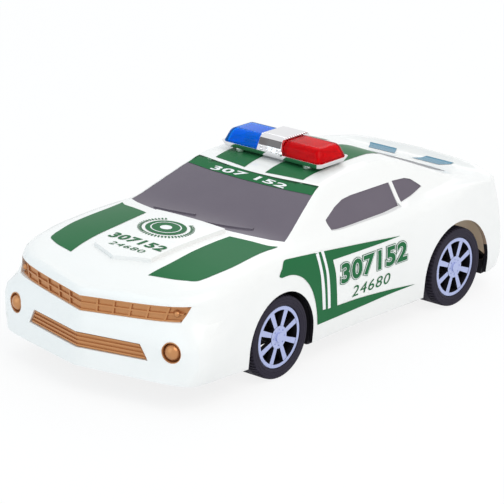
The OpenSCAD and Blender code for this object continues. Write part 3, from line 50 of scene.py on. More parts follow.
# finishes: colour, a second shade it drifts to, roughness; then, where they differ from plain plastic, metal, coat,
# shine at a slant, grain, how clear it is, its refraction, and light that comes through a thin wall
finishes = {
    "white_plastic": {"colour": (0.85, 0.845, 0.83), "drift": (0.88, 0.875, 0.865),
                      "rough": 0.25, "coat": 0.3, "shine": 0.35},
    "smoky_pane": {"colour": (0.125, 0.106, 0.136), "drift": (0.145, 0.124, 0.154),
                   "rough": 0.3, "shine": 0.2},
    "polished_pane": {"colour": (0.125, 0.106, 0.136), "drift": (0.145, 0.124, 0.154),
                      "rough": 0.12, "coat": 1.0},
    "copper_plastic": {"colour": (0.49, 0.215, 0.08), "drift": (0.56, 0.265, 0.11),
                       "rough": 0.32, "metal": 0.55},
    "lamp_red": {"colour": (0.42, 0.015, 0.02), "drift": (0.5, 0.03, 0.03), "rough": 0.15, "coat": 0.6},
    "plated_plastic": {"colour": (0.74, 0.74, 0.76), "drift": (0.8, 0.8, 0.82), "rough": 0.1, "metal": 1.0},
    "clear_red": {"colour": (0.86, 0.002, 0.008), "drift": (0.92, 0.004, 0.012),
                  "rough": 0.06, "clear": 0.7, "shine": 0.05, "ior": 1.18},
    "clear_blue": {"colour": (0.0, 0.25, 0.94), "drift": (0.002, 0.28, 0.97),
                   "rough": 0.06, "clear": 0.7, "shine": 0.05, "ior": 1.18},
    "diode_clear": {"colour": (0.85, 0.86, 0.88), "drift": (0.9, 0.9, 0.92), "rough": 0.08, "clear": 0.7},
    "steel": {"colour": (0.55, 0.55, 0.57), "drift": (0.63, 0.63, 0.65), "rough": 0.3, "metal": 1.0},
    "black_plastic": {"colour": (0.01, 0.0095, 0.013), "drift": (0.016, 0.015, 0.019),
                      "rough": 0.55, "grain": 0.25, "shine": 0.12},
    "cell_can": {"colour": (0.5, 0.36, 0.1), "drift": (0.56, 0.42, 0.14), "rough": 0.3, "metal": 0.6},
    "switch_red": {"colour": (0.55, 0.03, 0.03), "drift": (0.6, 0.05, 0.04), "rough": 0.35},
    "board_green": {"colour": (0.02, 0.16, 0.06), "drift": (0.03, 0.22, 0.09), "rough": 0.4},
    "ivory_plastic": {"colour": (0.75, 0.7, 0.56), "drift": (0.8, 0.76, 0.63), "rough": 0.45},
    "motor_can": {"colour": (0.55, 0.55, 0.56), "drift": (0.62, 0.62, 0.63), "rough": 0.32, "metal": 1.0},
    "brass": {"colour": (0.72, 0.52, 0.18), "drift": (0.78, 0.58, 0.22), "rough": 0.3, "metal": 1.0},
    "tyre": {"colour": (0.024, 0.021, 0.034), "drift": (0.033, 0.029, 0.044),
             "rough": 0.6, "grain": 0.35, "shine": 0.12},
    "wheel_plastic": {"colour": (0.4, 0.45, 0.72), "drift": (0.46, 0.51, 0.78), "rough": 0.3, "metal": 0.25},
    "green_film": {"colour": (0.02, 0.135, 0.05), "drift": (0.026, 0.152, 0.058),
                   "rough": 0.3, "shine": 0.04},
    # painted reflection: a bluer green than the film elsewhere, standing in for the sky the deck stripes mirror at a
    # slant
    "glossy_green_painted_reflection": {"colour": (0.08, 0.225, 0.33), "drift": (0.09, 0.25, 0.36),
                     "rough": 0.25, "shine": 0.35},
    "white_film": {"colour": (0.84, 0.845, 0.855), "drift": (0.87, 0.875, 0.885), "rough": 0.3, "shine": 0.3},
    "dark_film": {"colour": (0.09, 0.075, 0.075), "drift": (0.13, 0.11, 0.11), "rough": 0.2, "coat": 0.4},
    # painted light: the next finish is a tan that stands in for warm light coming through the thin white shell; the one
    # after it scatters light through that wall, with a painted warm tint
    "painted_warm_light": {"colour": (0.4, 0.27, 0.195), "drift": (0.46, 0.32, 0.235), "rough": 0.5, "shine": 0.2},
    "thin_plastic_painted_warmth": {"colour": (0.95, 0.74, 0.64), "drift": (0.97, 0.78, 0.68),
                     "rough": 0.5, "shine": 0.1, "through": 1.0},
}
surface = {
    "cloud": 60.0, "cloudDetail": 4.0, "glossSpread": 0.15,
    "grain": 0.03, "grainScale": 900.0, "grainDetail": 3.0, "grainDepth": 0.0002,
    "coatRough": 0.08, "ior": 1.49, "shine": 0.5, "throughTint": (1.0, 0.93, 0.88), "throughDepth": 0.006,
}


def makeFinish(name, settings):
    material = bpy.data.materials.new(name)
    material.use_nodes = True
    nodes, links = material.node_tree.nodes, material.node_tree.links
    shader = nodes["Principled BSDF"]
    place = nodes.new("ShaderNodeTexCoord")
    clouds = nodes.new("ShaderNodeTexNoise")
    clouds.inputs["Scale"].default_value = surface["cloud"]
    clouds.inputs["Detail"].default_value = surface["cloudDetail"]
    links.new(place.outputs["Object"], clouds.inputs["Vector"])
    tint = nodes.new("ShaderNodeMix")
    tint.data_type = "RGBA"
    tint.inputs["A"].default_value = (*settings["colour"], 1)
    tint.inputs["B"].default_value = (*settings["drift"], 1)
    links.new(clouds.outputs["Fac"], tint.inputs["Factor"])
    links.new(tint.outputs["Result"], shader.inputs["Base Color"])
    gloss = nodes.new("ShaderNodeMapRange")
    gloss.inputs["To Min"].default_value = settings["rough"] * (1 - surface["glossSpread"])
    gloss.inputs["To Max"].default_value = settings["rough"] * (1 + surface["glossSpread"])
    links.new(clouds.outputs["Fac"], gloss.inputs["Value"])
    links.new(gloss.outputs["Result"], shader.inputs["Roughness"])
    grain = nodes.new("ShaderNodeTexNoise")
    grain.inputs["Scale"].default_value = surface["grainScale"]
    grain.inputs["Detail"].default_value = surface["grainDetail"]
    links.new(place.outputs["Object"], grain.inputs["Vector"])
    bump = nodes.new("ShaderNodeBump")
    bump.inputs["Strength"].default_value = settings.get("grain", surface["grain"])
    bump.inputs["Distance"].default_value = surface["grainDepth"]
    links.new(grain.outputs["Fac"], bump.inputs["Height"])
    links.new(bump.outputs["Normal"], shader.inputs["Normal"])
    shader.inputs["Metallic"].default_value = settings.get("metal", 0.0)
    shader.inputs["Coat Weight"].default_value = settings.get("coat", 0.0)
    shader.inputs["Coat Roughness"].default_value = surface["coatRough"]
    shader.inputs["Transmission Weight"].default_value = settings.get("clear", 0.0)
    shader.inputs["Subsurface Weight"].default_value = settings.get("through", 0.0)
    shader.inputs["Subsurface Radius"].default_value = surface["throughTint"]
    shader.inputs["Subsurface Scale"].default_value = surface["throughDepth"]
    shader.inputs["IOR"].default_value = settings.get("ior", surface["ior"])
    shader.inputs["Specular IOR Level"].default_value = settings.get("shine", surface["shine"])
    return material


paint = {name: makeFinish(name, settings) for name, settings in finishes.items()}
slotOf = {part["node"]: part["material_slot"] for part in frame["record"]["subparts"]}
for name, piece in frame["nodes"].items():
    piece.data.materials.clear()
    piece.data.materials.append(paint[slotOf[name]])
print("finishes made,", len(paint))


def addPiece(name, bm, finish, body):
    mesh = bpy.data.meshes.new(name)
    bm.to_mesh(mesh)
    bm.free()
    mesh.materials.append(paint[finish])
    piece = bpy.data.objects.new(name, mesh)
    bpy.context.collection.objects.link(piece)
    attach(piece, body)
    return piece


def softened(bm, sharpAngle):
    for edge in bm.edges:
        edge.smooth = edge.calc_face_angle(0) < math.radians(sharpAngle)
    for face in bm.faces:
        face.smooth = True


# merged copies of the moulded pieces, shaded smooth up to a crease angle
mouldings = {
    "body_shell": 28, "windshield": 30, "rear_window": 30, "left_door_window": 30, "right_door_window": 30,
    "left_quarter_window": 30, "right_quarter_window": 30, "upper_grille": 20, "lower_grille": 20,
    "left_fog_lamp": 40, "right_fog_lamp": 40, "left_tail_lamp": 30, "right_tail_lamp": 30,
    "lightbar_base": 30, "lightbar_bridge": 30, "red_lens": 30, "blue_lens": 30,
    "front_left_rim": 30, "front_right_rim": 30, "rear_left_rim": 30, "rear_right_rim": 30,
}
edgeRound = {
    "width": {"front_left_rim": 0.3, "front_right_rim": 0.3, "rear_left_rim": 0.3, "rear_right_rim": 0.3,
              "lightbar_base": 0.4, "lightbar_bridge": 0.35},
    "segments": 3, "from": 40,
}
weld = 1e-6
shown = {}
for name, angle in mouldings.items():
    bm = bmesh.new()
    bm.from_mesh(frame["nodes"][name].data)
    bmesh.ops.remove_doubles(bm, verts=bm.verts, dist=weld)
    softened(bm, angle)
    shown[name] = addPiece(name + "_skin", bm, slotOf[name], bodyOf[name])
    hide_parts(name)
    if name in edgeRound["width"]:
        rounding = shown[name].modifiers.new("edges", "BEVEL")
        rounding.width = edgeRound["width"][name] * mm
        rounding.segments = edgeRound["segments"]
        rounding.limit_method = "ANGLE"
        rounding.angle_limit = math.radians(edgeRound["from"])
        rounding.harden_normals = True
shown["rear_window"].data.materials[0] = paint["polished_pane"]  # mirrors the room at a slant
print("mouldings copied,", len(shown))

# painted shade: the wheels are painted black behind the spokes and down their sides, for the shade that falls there
barrelShade = {"from": 53.9, "hub": 5.2, "ring": 13.4, "facing": 0.7, "axle": 20}
for name in [n for n in shown if n.endswith("_rim")]:
    shown[name].data.materials.append(paint["black_plastic"])
    x = axleAt[bodyOf[name]]
    for face in shown[name].data.polygons:
        at = face.center / mm
        between = barrelShade["hub"] < math.hypot(at.x - x, at.z - barrelShade["axle"]) < barrelShade["ring"]
        if abs(at.y) < barrelShade["from"] or (between and abs(face.normal.y) < barrelShade["facing"]):
            face.material_index = 1

# tyres: wall rings, tread grooves and a notched shoulder, from the outer face inward (radius, depth) in mm
tyreShape = {
    "wall": [(15.06, 0.45), (15.5, 0.25), (15.9, 0.05), (16.3, 0.0), (16.45, 0.16), (16.8, 0.16), (16.95, 0.0),
             (17.8, 0.0), (17.95, 0.14), (18.2, 0.14), (18.35, 0.0), (18.85, 0.02), (19.35, 0.22), (19.7, 0.62),
             (19.85, 1.15)],
    "tread": [(19.95, 2.0), (19.98, 3.4), (19.4, 3.7), (19.4, 4.3), (19.98, 4.6), (19.98, 7.9), (19.4, 8.2),
              (19.4, 8.5)],
    "steps": 128, "notch": 0.4, "rim": 0.12, "from": 19.25, "bands": [(0.3, 3.4), (13.6, 16.7)],
    "face": 57.4, "width": 17, "axle": 20, "sharp": 38,
}


def makeTyre(name, x, side):
    half = tyreShape["wall"] + tyreShape["tread"]
    profile = half + [(r, tyreShape["width"] - d) for r, d in reversed(half)]
    bm = bmesh.new()
    loop = []
    for r, d in profile:
        loop.append(bm.verts.new((x * mm, side * (tyreShape["face"] - d) * mm, (tyreShape["axle"] + r) * mm)))
    edges = [bm.edges.new(pair) for pair in zip(loop, loop[1:])]
    edges.append(bm.edges.new((loop[-1], loop[0])))
    centre = Vector((x, 0, tyreShape["axle"])) * mm
    bmesh.ops.spin(bm, geom=loop + edges, cent=centre, axis=(0, 1, 0), angle=math.tau, steps=tyreShape["steps"],
                   use_merge=True)
    bmesh.ops.remove_doubles(bm, verts=bm.verts, dist=weld)
    bmesh.ops.recalc_face_normals(bm, faces=bm.faces)
    blocks = []
    for face in bm.faces:
        middle = face.calc_center_median()
        depth = tyreShape["face"] - abs(middle.y) / mm
        reach = math.hypot(middle.x - centre.x, middle.z - centre.z) / mm
        turn = math.atan2(middle.z - centre.z, middle.x - centre.x) % math.tau / math.tau * tyreShape["steps"]
        if reach > tyreShape["from"] and int(turn) % 2 and any(a < depth < b for a, b in tyreShape["bands"]):
            blocks.append(face)
    bmesh.ops.inset_region(bm, faces=blocks, thickness=tyreShape["rim"] * mm, depth=-tyreShape["notch"] * mm,
                           use_even_offset=True)
    softened(bm, tyreShape["sharp"])
    tyre = addPiece(name + "_tread", bm, "tyre", bodyOf[name])
    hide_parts(name)


for end in ("front", "rear"):
    for hand, side in (("left", 1), ("right", -1)):
        makeTyre(end + "_" + hand + "_tyre", axleAt[end + "_wheels"], side)
print("tyres made")

# printed films: outlines in mm, each a list of smooth runs that meet at corners
sideGraphic = {
    "green": [[(49.7, 56.5), (29, 54.4), (22.3, 53.7)],
              [(22.3, 53.7), (8.5, 52.1), (-6.4, 50.5), (-21.4, 48.9), (-35.4, 47.4)],
              [(-35.4, 47.4), (-22.5, 47.2), (-9.9, 47.3), (2.6, 47.5), (15.6, 47.9)],
              [(15.6, 47.9), (13.7, 40.5), (12.8, 32.7), (12.1, 24.6)],
              [(12.1, 24.6), (-2.8, 24.1), (-18.1, 23), (-33.5, 21.6), (-47.6, 20)],
              [(-47.6, 20), (-27.3, 19.9), (-8.3, 19.3), (9.4, 19), (26.8, 19)],
              [(26.8, 19), (27.9, 26.4), (29.6, 32.5), (32.7, 38.9), (37.7, 44.4), (42.5, 47.3), (48.2, 49),
               (54.6, 49.3)],
              [(54.6, 49.3), (56.2, 50.4), (54.4, 53), (51.6, 56), (49.7, 56.5)]],
    "stripeFront": [[(28.5, 54.6), (25.9, 45.5), (24.5, 35.8), (23.4, 25.5)], [(23.4, 25.5), (21.2, 25.4)],
                    [(21.2, 25.4), (22.1, 35.2), (23.8, 44.9), (26.3, 54.4)], [(26.3, 54.4), (28.5, 54.6)]],
    "stripeBack": [[(24.4, 54.2), (21.6, 45.3), (20.4, 36.6), (19.4, 25.1)], [(19.4, 25.1), (17.4, 25)],
                   [(17.4, 25), (18.3, 36.1), (19.7, 44.8), (22.3, 54)], [(22.3, 54), (24.4, 54.2)]],
}
hoodStripe = [[(106.6, 23.8), (92, 25), (76.4, 24.8), (64.6, 25.1), (53.4, 25.8)],
              [(53.4, 25.8), (50.4, 35.8), (48.2, 44), (45.5, 48.4)],
              [(45.5, 48.4), (57.6, 47.7), (77.9, 48.4), (93.2, 46.6)], [(93.2, 46.6), (97.5, 45.2), (99.5, 43)],
              [(99.5, 43), (103.2, 35.3), (106.6, 23.8)]]
roofStripe = [[(5.4, 6.4), (2.4, 27.2)], [(2.4, 27.2), (-30, 27.2), (-50.7, 25.4), (-60.4, 24.4)],
              [(-60.4, 24.4), (-60.6, 6.4)], [(-60.6, 6.4), (5.4, 6.4)]]
deckStripe = [[(-111.6, 5.4), (-111.6, 22.2)], [(-111.6, 22.2), (-118.8, 26.6)], [(-118.8, 26.6), (-118.8, 9.6)],
              [(-118.8, 9.6), (-111.6, 5.4)]]
headerBand = [[(2.9, -37.2), (5.9, -20.7), (7.2, -6.7), (7.2, 6.7), (5.9, 20.7), (2.9, 37.2)],
              [(2.9, 37.2), (9.6, 38.6)],
              [(9.6, 38.6), (12, 23), (13.1, 6.5), (13.1, -6.5), (12, -23), (9.6, -38.6)], [(9.6, -38.6), (2.9, -37.2)]]
filmSettings = {"step": 2.5, "runSteps": 6, "castFrom": 200, "nearFrom": 60, "sharp": 180}


def smoothRun(run):
    if len(run) == 2:
        return [Vector(p) for p in run[:-1]]
    points = [Vector(p) for p in run]
    points = [points[0] * 2 - points[1]] + points + [points[-1] * 2 - points[-2]]
    curve = []
    for a, b, c, d in zip(points, points[1:], points[2:], points[3:]):
        for i in range(filmSettings["runSteps"]):
            t = i / filmSettings["runSteps"]
            square, cube = (2 * a - 5 * b + 4 * c - d) * t * t, (3 * b - a - 3 * c + d) * t ** 3
            curve.append(0.5 * (2 * b + (c - a) * t + square + cube))
    return curve


def treeOf(*pieces):
    joined = bmesh.new()
    for piece in pieces:
        joined.from_mesh(piece.data)
    tree = BVHTree.FromBMesh(joined)
    joined.free()
    return tree


inward = {"top": (0, 0, -1), "left": (0, -1, 0), "right": (0, 1, 0), "front": (-1, 0, 0)}  # the way each side is looked at


# cuts a flat shape fine and drops it on the skin from the side it is seen from, a little above it
def layShape(name, bm, seen, skin, finish, lift, others=()):
    down = Vector(inward[seen])
    bm.normal_update()
    bmesh.ops.triangulate(bm, faces=bm.faces)
    for cut in [Vector(axis) for axis in ((1, 0, 0), (0, 1, 0), (0, 0, 1)) if not Vector(axis).dot(down)]:
        reach = [v.co.dot(cut) for v in bm.verts]
        place = min(reach) + filmSettings["step"] * mm
        while place < max(reach):
            bmesh.ops.bisect_plane(bm, geom=bm.verts[:] + bm.edges[:] + bm.faces[:], plane_co=cut * place, plane_no=cut)
            place += filmSettings["step"] * mm
    bmesh.ops.triangulate(bm, faces=bm.faces)
    tree = treeOf(skin, *others)
    for vert in bm.verts:
        start = vert.co - down * (filmSettings["castFrom"] * mm + vert.co.dot(down))
        hit = tree.ray_cast(start, down)[0]
        if hit is None:
            hit = tree.find_nearest(vert.co - down * filmSettings["nearFrom"] * mm)[0]
        vert.co = hit - down * lift * mm
    bmesh.ops.recalc_face_normals(bm, faces=bm.faces)
    if sum(f.normal.dot(down) for f in bm.faces) > 0:
        bmesh.ops.reverse_faces(bm, faces=bm.faces)
    softened(bm, filmSettings["sharp"])
    film = addPiece(name, bm, finish, "car_body")
    carry = film.modifiers.new("normals", "DATA_TRANSFER")
    carry.object = skin
    carry.use_loop_data = True
    carry.data_types_loops = {"CUSTOM_NORMAL"}
    carry.loop_mapping = "POLYINTERP_NEAREST"
    return film


def layFilm(name, outline, seen, skin, finish, lift, flip=1, others=()):
    flat = [p for run in outline for p in smoothRun(run)]
    bm = bmesh.new()
    if seen == "top":
        bm.faces.new([bm.verts.new((p.x * mm, flip * p.y * mm, 0)) for p in flat])
    elif seen == "front":
        bm.faces.new([bm.verts.new((0, p.x * mm, p.y * mm)) for p in flat])
    else:
        bm.faces.new([bm.verts.new((p.x * mm, 0, p.y * mm)) for p in flat])
    return layShape(name, bm, seen, skin, finish, lift, others)


outlined = [(0.035, "green_film", 0.36), (0.06, "white_film", 0.28), (0.085, "green_film", 0.2)]
bold = [(0.035, "green_film", 0.2)]
white = [(0.03, "white_film", 0.3)]
thin = [(0.0, "green_film", 0.2)]
figures = {
    "door": {"line": "307152", "middle": (-15.2, 39.3), "size": (10, 50), "layers": outlined, "slant": 0.0},
    "doorSmall": {"line": "24680", "middle": (-13.4, 28.4), "size": (5.2, 29), "layers": thin, "slant": 0.2},
    "header": {"line": "307 152", "middle": (10.2, 0), "size": (3.2, 46), "layers": white, "slant": 0.15},
    "hood": {"line": "307152", "middle": (87.6, 0), "size": (5.6, 33), "layers": bold, "slant": 0.15},
    "hoodSmall": {"line": "24680", "middle": (94.6, 0), "size": (3, 21), "layers": thin, "slant": 0.2},
}
lettering = {"spacing": 1.1, "steps": 4, "weld": 1e-5}


# plain figures, read from outside: middle of the line, height and width in mm, then layers of (weight, finish, lift)
def layFigures(name, settings, seen, skin):
    middle, size = settings["middle"], settings["size"]
    box = None
    for step, (weight, finish, lift) in enumerate(settings["layers"]):
        line = bpy.data.curves.new(name, "FONT")
        line.body = settings["line"]
        line.offset = weight
        line.shear = settings["slant"]
        line.space_character = lettering["spacing"]
        line.resolution_u = lettering["steps"]
        holder = bpy.data.objects.new(name + "_line", line)
        bpy.context.collection.objects.link(holder)
        flat = bpy.data.meshes.new_from_object(holder.evaluated_get(bpy.context.evaluated_depsgraph_get()))
        bpy.data.objects.remove(holder)
        bm = bmesh.new()
        bm.from_mesh(flat)
        bmesh.ops.remove_doubles(bm, verts=bm.verts, dist=lettering["weld"])
        if box is None:
            xs, ys = [v.co.x for v in bm.verts], [v.co.y for v in bm.verts]
            box = (min(xs), max(xs), min(ys), max(ys))
        for vert in bm.verts:
            u = ((vert.co.x - box[0]) / (box[1] - box[0]) - 0.5) * size[1] * mm
            v = ((vert.co.y - box[2]) / (box[3] - box[2]) - 0.5) * size[0] * mm
            if seen == "top":
                vert.co = (middle[0] * mm - v, middle[1] * mm + u, 0)
            else:
                vert.co = (middle[0] * mm + (u if seen == "right" else -u), 0, middle[1] * mm + v)
        layShape(name if step == 0 else name + "_edge" + str(step), bm, seen, skin, finish, lift)


# a round badge of rings, a disc and short ticks, each (outer, inner) in mm, stretched across the car
badge = {
    "middle": (68.2, 0), "stretch": 1.3, "disc": 8.2, "line": (6.2, 5.7), "dot": 2.4, "segments": 64,
    "ticks": (11.4, 9.6), "tickFoot": 0.45, "tickTip": 0.27, "count": 40, "open": 70,
}


def addRing(bm, outer, inner):
    rim = bmesh.ops.create_circle(bm, segments=badge["segments"], radius=outer * mm)["verts"]
    if inner:
        rim = rim + bmesh.ops.create_circle(bm, segments=badge["segments"], radius=inner * mm)["verts"]
        bmesh.ops.bridge_loops(bm, edges=list({e for v in rim for e in v.link_edges}))
    else:
        bm.faces.new(rim)


def addTicks(bm, outer, inner, turns):
    foot, tip = badge["tickFoot"], badge["tickTip"]
    for turn in turns:
        along, across = Vector((math.cos(turn), math.sin(turn), 0)), Vector((-math.sin(turn), math.cos(turn), 0))
        corners = [(inner, -foot), (outer, -tip), (outer, tip), (inner, foot)]
        bm.faces.new([bm.verts.new((along * r + across * w) * mm) for r, w in corners])


def layBadge(name, bm, skin, finish, lift):
    x, y = badge["middle"]
    for vert in bm.verts:
        vert.co = (x * mm + vert.co.x, y * mm + vert.co.y * badge["stretch"], 0)
    layShape(name, bm, "top", skin, finish, lift)


shell = shown["body_shell"]
onSkin = {"panel": 0.16, "stripe": 0.26, "header": 0.2, "badge": 0.2, "badgeLine": 0.28}
for side in ("left", "right"):
    layFilm(side + "_side_green", sideGraphic["green"], side, shell, "green_film", onSkin["panel"])
    layFilm(side + "_side_stripe_front", sideGraphic["stripeFront"], side, shell, "white_film", onSkin["stripe"])
    layFilm(side + "_side_stripe_back", sideGraphic["stripeBack"], side, shell, "white_film", onSkin["stripe"])
    flip = 1 if side == "left" else -1
    layFilm(side + "_hood_stripe", hoodStripe, "top", shell, "green_film", onSkin["panel"], flip)
    layFilm(side + "_roof_stripe", roofStripe, "top", shell, "green_film", onSkin["panel"], flip)
    # painted reflection: the deck stripes are the same green film, coloured bluer for the sky they mirror
    layFilm(side + "_deck_stripe", deckStripe, "top", shell, "glossy_green_painted_reflection", onSkin["panel"], flip)
    layFigures(side + "_door_figures", figures["door"], side, shell)
    layFigures(side + "_door_small_figures", figures["doorSmall"], side, shell)
layFilm("header_band", headerBand, "top", shown["windshield"], "green_film", onSkin["header"], others=(shell,))
layFigures("header_figures", figures["header"], "top", shown["windshield"])
layFigures("hood_figures", figures["hood"], "top", shell)
layFigures("hood_small_figures", figures["hoodSmall"], "top", shell)

bm = bmesh.new()
addRing(bm, badge["disc"], 0)
half = math.radians(badge["open"] / 2)
turns = [math.pi + half + (math.tau - 2 * half) * i / (badge["count"] - 1) for i in range(badge["count"])]
addTicks(bm, *badge["ticks"], turns)
layBadge("hood_badge", bm, shell, "green_film", onSkin["badge"])
bm = bmesh.new()
addRing(bm, *badge["line"])
addRing(bm, badge["dot"], 0)
layBadge("hood_badge_line", bm, shell, "white_film", onSkin["badgeLine"])
print("films laid")

# light bar trim: beads along the bridge's top edges, two rows of domes low on its front, a corner rivet;
# places are along the bridge from its middle, across it, and down from its top
barTrim = {
    "bead": 0.55, "beadY": 6.85, "beadDrop": 0.62, "beadReach": 8.2, "beadCount": 11,
    "domes": [(y, drop) for drop in (5.6, 7.0) for y in (-4.8, -1.6, 1.6, 4.8)], "dome": 0.62, "castFrom": 100,
    "rivet": (11.4, 6.9, 7.2), "rivetSize": 1.3, "rivetFlat": (0.7, 1, 1), "ballSteps": (16, 10), "sharp": 60,
    "band": {"low": 4.9, "high": 1.6, "lowHalf": 6.9, "highHalf": 6.7, "lift": 0.08},
}


def addBall(bm, place, radius, squash=(1, 1, 1)):
    around, down = barTrim["ballSteps"]
    ball = bmesh.ops.create_uvsphere(bm, u_segments=around, v_segments=down, radius=radius * mm)["verts"]
    bmesh.ops.scale(bm, verts=ball, vec=squash)
    bmesh.ops.translate(bm, verts=ball, vec=Vector(place) * mm)


bridge = shown["lightbar_bridge"]
bridgeTree = treeOf(bridge)
reach = [v.co.x / mm for v in bridge.data.vertices]
bridgeX, bridgeTop = (min(reach) + max(reach)) / 2, max(v.co.z for v in bridge.data.vertices) / mm
bm = bmesh.new()
for i in range(barTrim["beadCount"]):
    x = bridgeX + barTrim["beadReach"] * (2 * i / (barTrim["beadCount"] - 1) - 1)
    for side in (1, -1):
        addBall(bm, (x, side * barTrim["beadY"], bridgeTop - barTrim["beadDrop"]), barTrim["bead"])
for y, drop in barTrim["domes"]:
    start = Vector((barTrim["castFrom"], y, bridgeTop - drop)) * mm
    hit = bridgeTree.ray_cast(start, Vector(inward["front"]))[0]
    addBall(bm, (hit.x / mm, y, bridgeTop - drop), barTrim["dome"])
along, across, drop = barTrim["rivet"]
addBall(bm, (bridgeX + along, across, bridgeTop - drop), barTrim["rivetSize"], barTrim["rivetFlat"])
softened(bm, barTrim["sharp"])
addPiece("bridge_trim", bm, "plated_plastic", "car_body")
band = barTrim["band"]
low, high = bridgeTop - band["low"], bridgeTop - band["high"]
corners = [(-band["lowHalf"], low), (band["lowHalf"], low), (band["highHalf"], high), (-band["highHalf"], high)]
bridgeBand = [[a, b] for a, b in zip(corners, corners[1:] + corners[:1])]
layFilm("bridge_band", bridgeBand, "front", bridge, "dark_film", band["lift"])
print("light bar trimmed")

# painted shade and light: the lips of the wheel arches are painted dark for shade, and tan in the upper part of the
# rear ones, a painted warm light standing in for light that comes through the thin back wall;
# the upper faces of the chassis's rear wheel-houses get the same painted tan, and the back wall's inside a painted warm
# tint on top of the light it scatters through
arches = {
    "reach": 27, "wide": 38, "below": 50, "facing": 0.4, "paintedLightFrom": 26, "axle": 20, "back": -110, "forward": 0.3,
    "house": 30, "houseReach": 30,
}
paintedShadeLip, paintedWarmLip, thinWall = 1, 2, 3
for finish in ("black_plastic", "painted_warm_light", "thin_plastic_painted_warmth"):
    shell.data.materials.append(paint[finish])
for face in shell.data.polygons:
    at = face.center / mm
    # painted warm tint on the inside of the shell's back wall
    if at.x < arches["back"] and at.z < arches["below"] and face.normal.x > arches["forward"]:
        face.material_index = thinWall
    if abs(at.y) < arches["wide"] or at.z > arches["below"] or abs(face.normal.y) > arches["facing"]:
        continue
    # arch lips: painted shade, and painted warm light on the upper part of the rear ones
    for wheels in ("front_wheels", "rear_wheels"):
        away = Vector((axleAt[wheels] - at.x, 0, arches["axle"] - at.z))
        if abs(away.x) < arches["reach"] and away.dot(face.normal) > 0:
            face.material_index = paintedWarmLip if wheels == "rear_wheels" and at.z > arches["paintedLightFrom"] else paintedShadeLip
# the chassis's rear wheel-houses: upper faces painted tan as painted light
tray = frame["nodes"]["chassis"].data
tray.materials.append(paint["painted_warm_light"])
for face in tray.polygons:
    at = face.center / mm
    away = Vector((axleAt["rear_wheels"] - at.x, 0, arches["axle"] - at.z))
    facing = away.dot(face.normal) > 0 or face.normal.y * at.y > 0
    inHouse = abs(at.y) > arches["house"] and abs(away.x) < arches["houseReach"]
    if facing and inHouse and at.z > arches["paintedLightFrom"]:
        face.material_index = 1
print("arches coloured")

# floor, backdrop and light
studio = {"floor": 3.0, "white": (0.93, 0.94, 0.95), "rough": 0.9, "keep": 0.85, "world": (0.9, 0.96, 1.0),
          "worldStrength": 0.75}
bm = bmesh.new()
bmesh.ops.create_grid(bm, x_segments=1, y_segments=1, size=studio["floor"])
mesh = bpy.data.meshes.new("floor")
bm.to_mesh(mesh)
bm.free()
floor = bpy.data.objects.new("floor", mesh)
bpy.context.collection.objects.link(floor)


# the share of rays that see the floor and backdrop plain white: the camera's, and those of gloss and clear plastic
def rayShare(nodes, links):
    path = nodes.new("ShaderNodeLightPath")
    first = nodes.new("ShaderNodeMath")
    first.operation = "MAXIMUM"
    links.new(path.outputs["Is Camera Ray"], first.inputs[0])
    links.new(path.outputs["Is Glossy Ray"], first.inputs[1])
    both = nodes.new("ShaderNodeMath")
    both.operation = "MAXIMUM"
    links.new(first.outputs[0], both.inputs[0])
    links.new(path.outputs["Is Transmission Ray"], both.inputs[1])
    return both.outputs[0]


paleFloor = bpy.data.materials.new("pale_floor")
paleFloor.use_nodes = True
nodes, links = paleFloor.node_tree.nodes, paleFloor.node_tree.links
matt = nodes["Principled BSDF"]
matt.inputs["Base Color"].default_value = (*studio["white"], 1)
matt.inputs["Roughness"].default_value = studio["rough"]
matt.inputs["Specular IOR Level"].default_value = 0.0
glow = nodes.new("ShaderNodeEmission")
glow.inputs["Strength"].default_value = 1.0
mixer = nodes.new("ShaderNodeMixShader")
keep = nodes.new("ShaderNodeMath")
keep.operation = "MULTIPLY"
keep.inputs[1].default_value = studio["keep"]
links.new(rayShare(nodes, links), keep.inputs[0])
links.new(keep.outputs[0], mixer.inputs["Fac"])
links.new(matt.outputs["BSDF"], mixer.inputs[1])
links.new(glow.outputs["Emission"], mixer.inputs[2])
links.new(mixer.outputs["Shader"], nodes["Material Output"].inputs["Surface"])
mesh.materials.append(paleFloor)

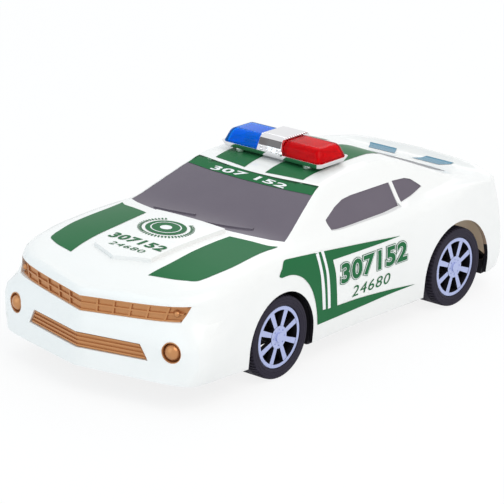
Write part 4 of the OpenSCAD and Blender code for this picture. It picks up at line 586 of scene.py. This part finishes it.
world = bpy.context.scene.world or bpy.data.worlds.new("studio")
bpy.context.scene.world = world
world.use_nodes = True
nodes, links = world.node_tree.nodes, world.node_tree.links
sky = nodes["Background"]
sky.inputs["Color"].default_value = (*studio["world"], 1)
sky.inputs["Strength"].default_value = studio["worldStrength"]
backdrop = nodes.new("ShaderNodeBackground")
backdrop.inputs["Color"].default_value = (1, 1, 1, 1)
mixer = nodes.new("ShaderNodeMixShader")
links.new(rayShare(nodes, links), mixer.inputs["Fac"])
links.new(sky.outputs["Background"], mixer.inputs[1])
links.new(backdrop.outputs["Background"], mixer.inputs[2])
links.new(mixer.outputs["Shader"], nodes["World Output"].inputs["Surface"])

lamps = {
    "key": {"place": (0.3, 1.1, 1.4), "size": 1.2, "watts": 12.5, "colour": (1.0, 0.93, 0.86)},
    "fill": {"place": (1.5, -0.5, 0.7), "size": 1.4, "watts": 5, "colour": (0.72, 0.93, 1.0)},
    "rim": {"place": (-1.2, -0.6, 1.3), "size": 1.0, "watts": 5, "colour": (0.95, 0.98, 1.0)},
}
for name, lamp in lamps.items():
    light = bpy.data.lights.new(name, "AREA")
    light.size = lamp["size"]
    light.energy = lamp["watts"]
    light.color = lamp["colour"]
    holder = bpy.data.objects.new(name, light)
    holder.location = lamp["place"]
    holder.rotation_euler = (-Vector(lamp["place"])).to_track_quat("-Z", "Y").to_euler()
    bpy.context.collection.objects.link(holder)

shot = {"place": (0.97545, 0.81112, 0.46519), "aim": (-0.01294, -0.0161, 0.02768), "roll": 1.102, "lens": 198.9,
        "sensor": 36}
camera = bpy.data.cameras.new("camera")
camera.lens = shot["lens"]
camera.sensor_width = shot["sensor"]
holder = bpy.data.objects.new("camera", camera)
holder.location = shot["place"]
look = (Vector(shot["aim"]) - Vector(shot["place"])).to_track_quat("-Z", "Y")
holder.rotation_euler = (look @ Quaternion((0, 0, 1), math.radians(shot["roll"]))).to_euler()
bpy.context.collection.objects.link(holder)
bpy.context.scene.camera = holder
bpy.context.scene.view_settings.view_transform = "Standard"
print("studio set")
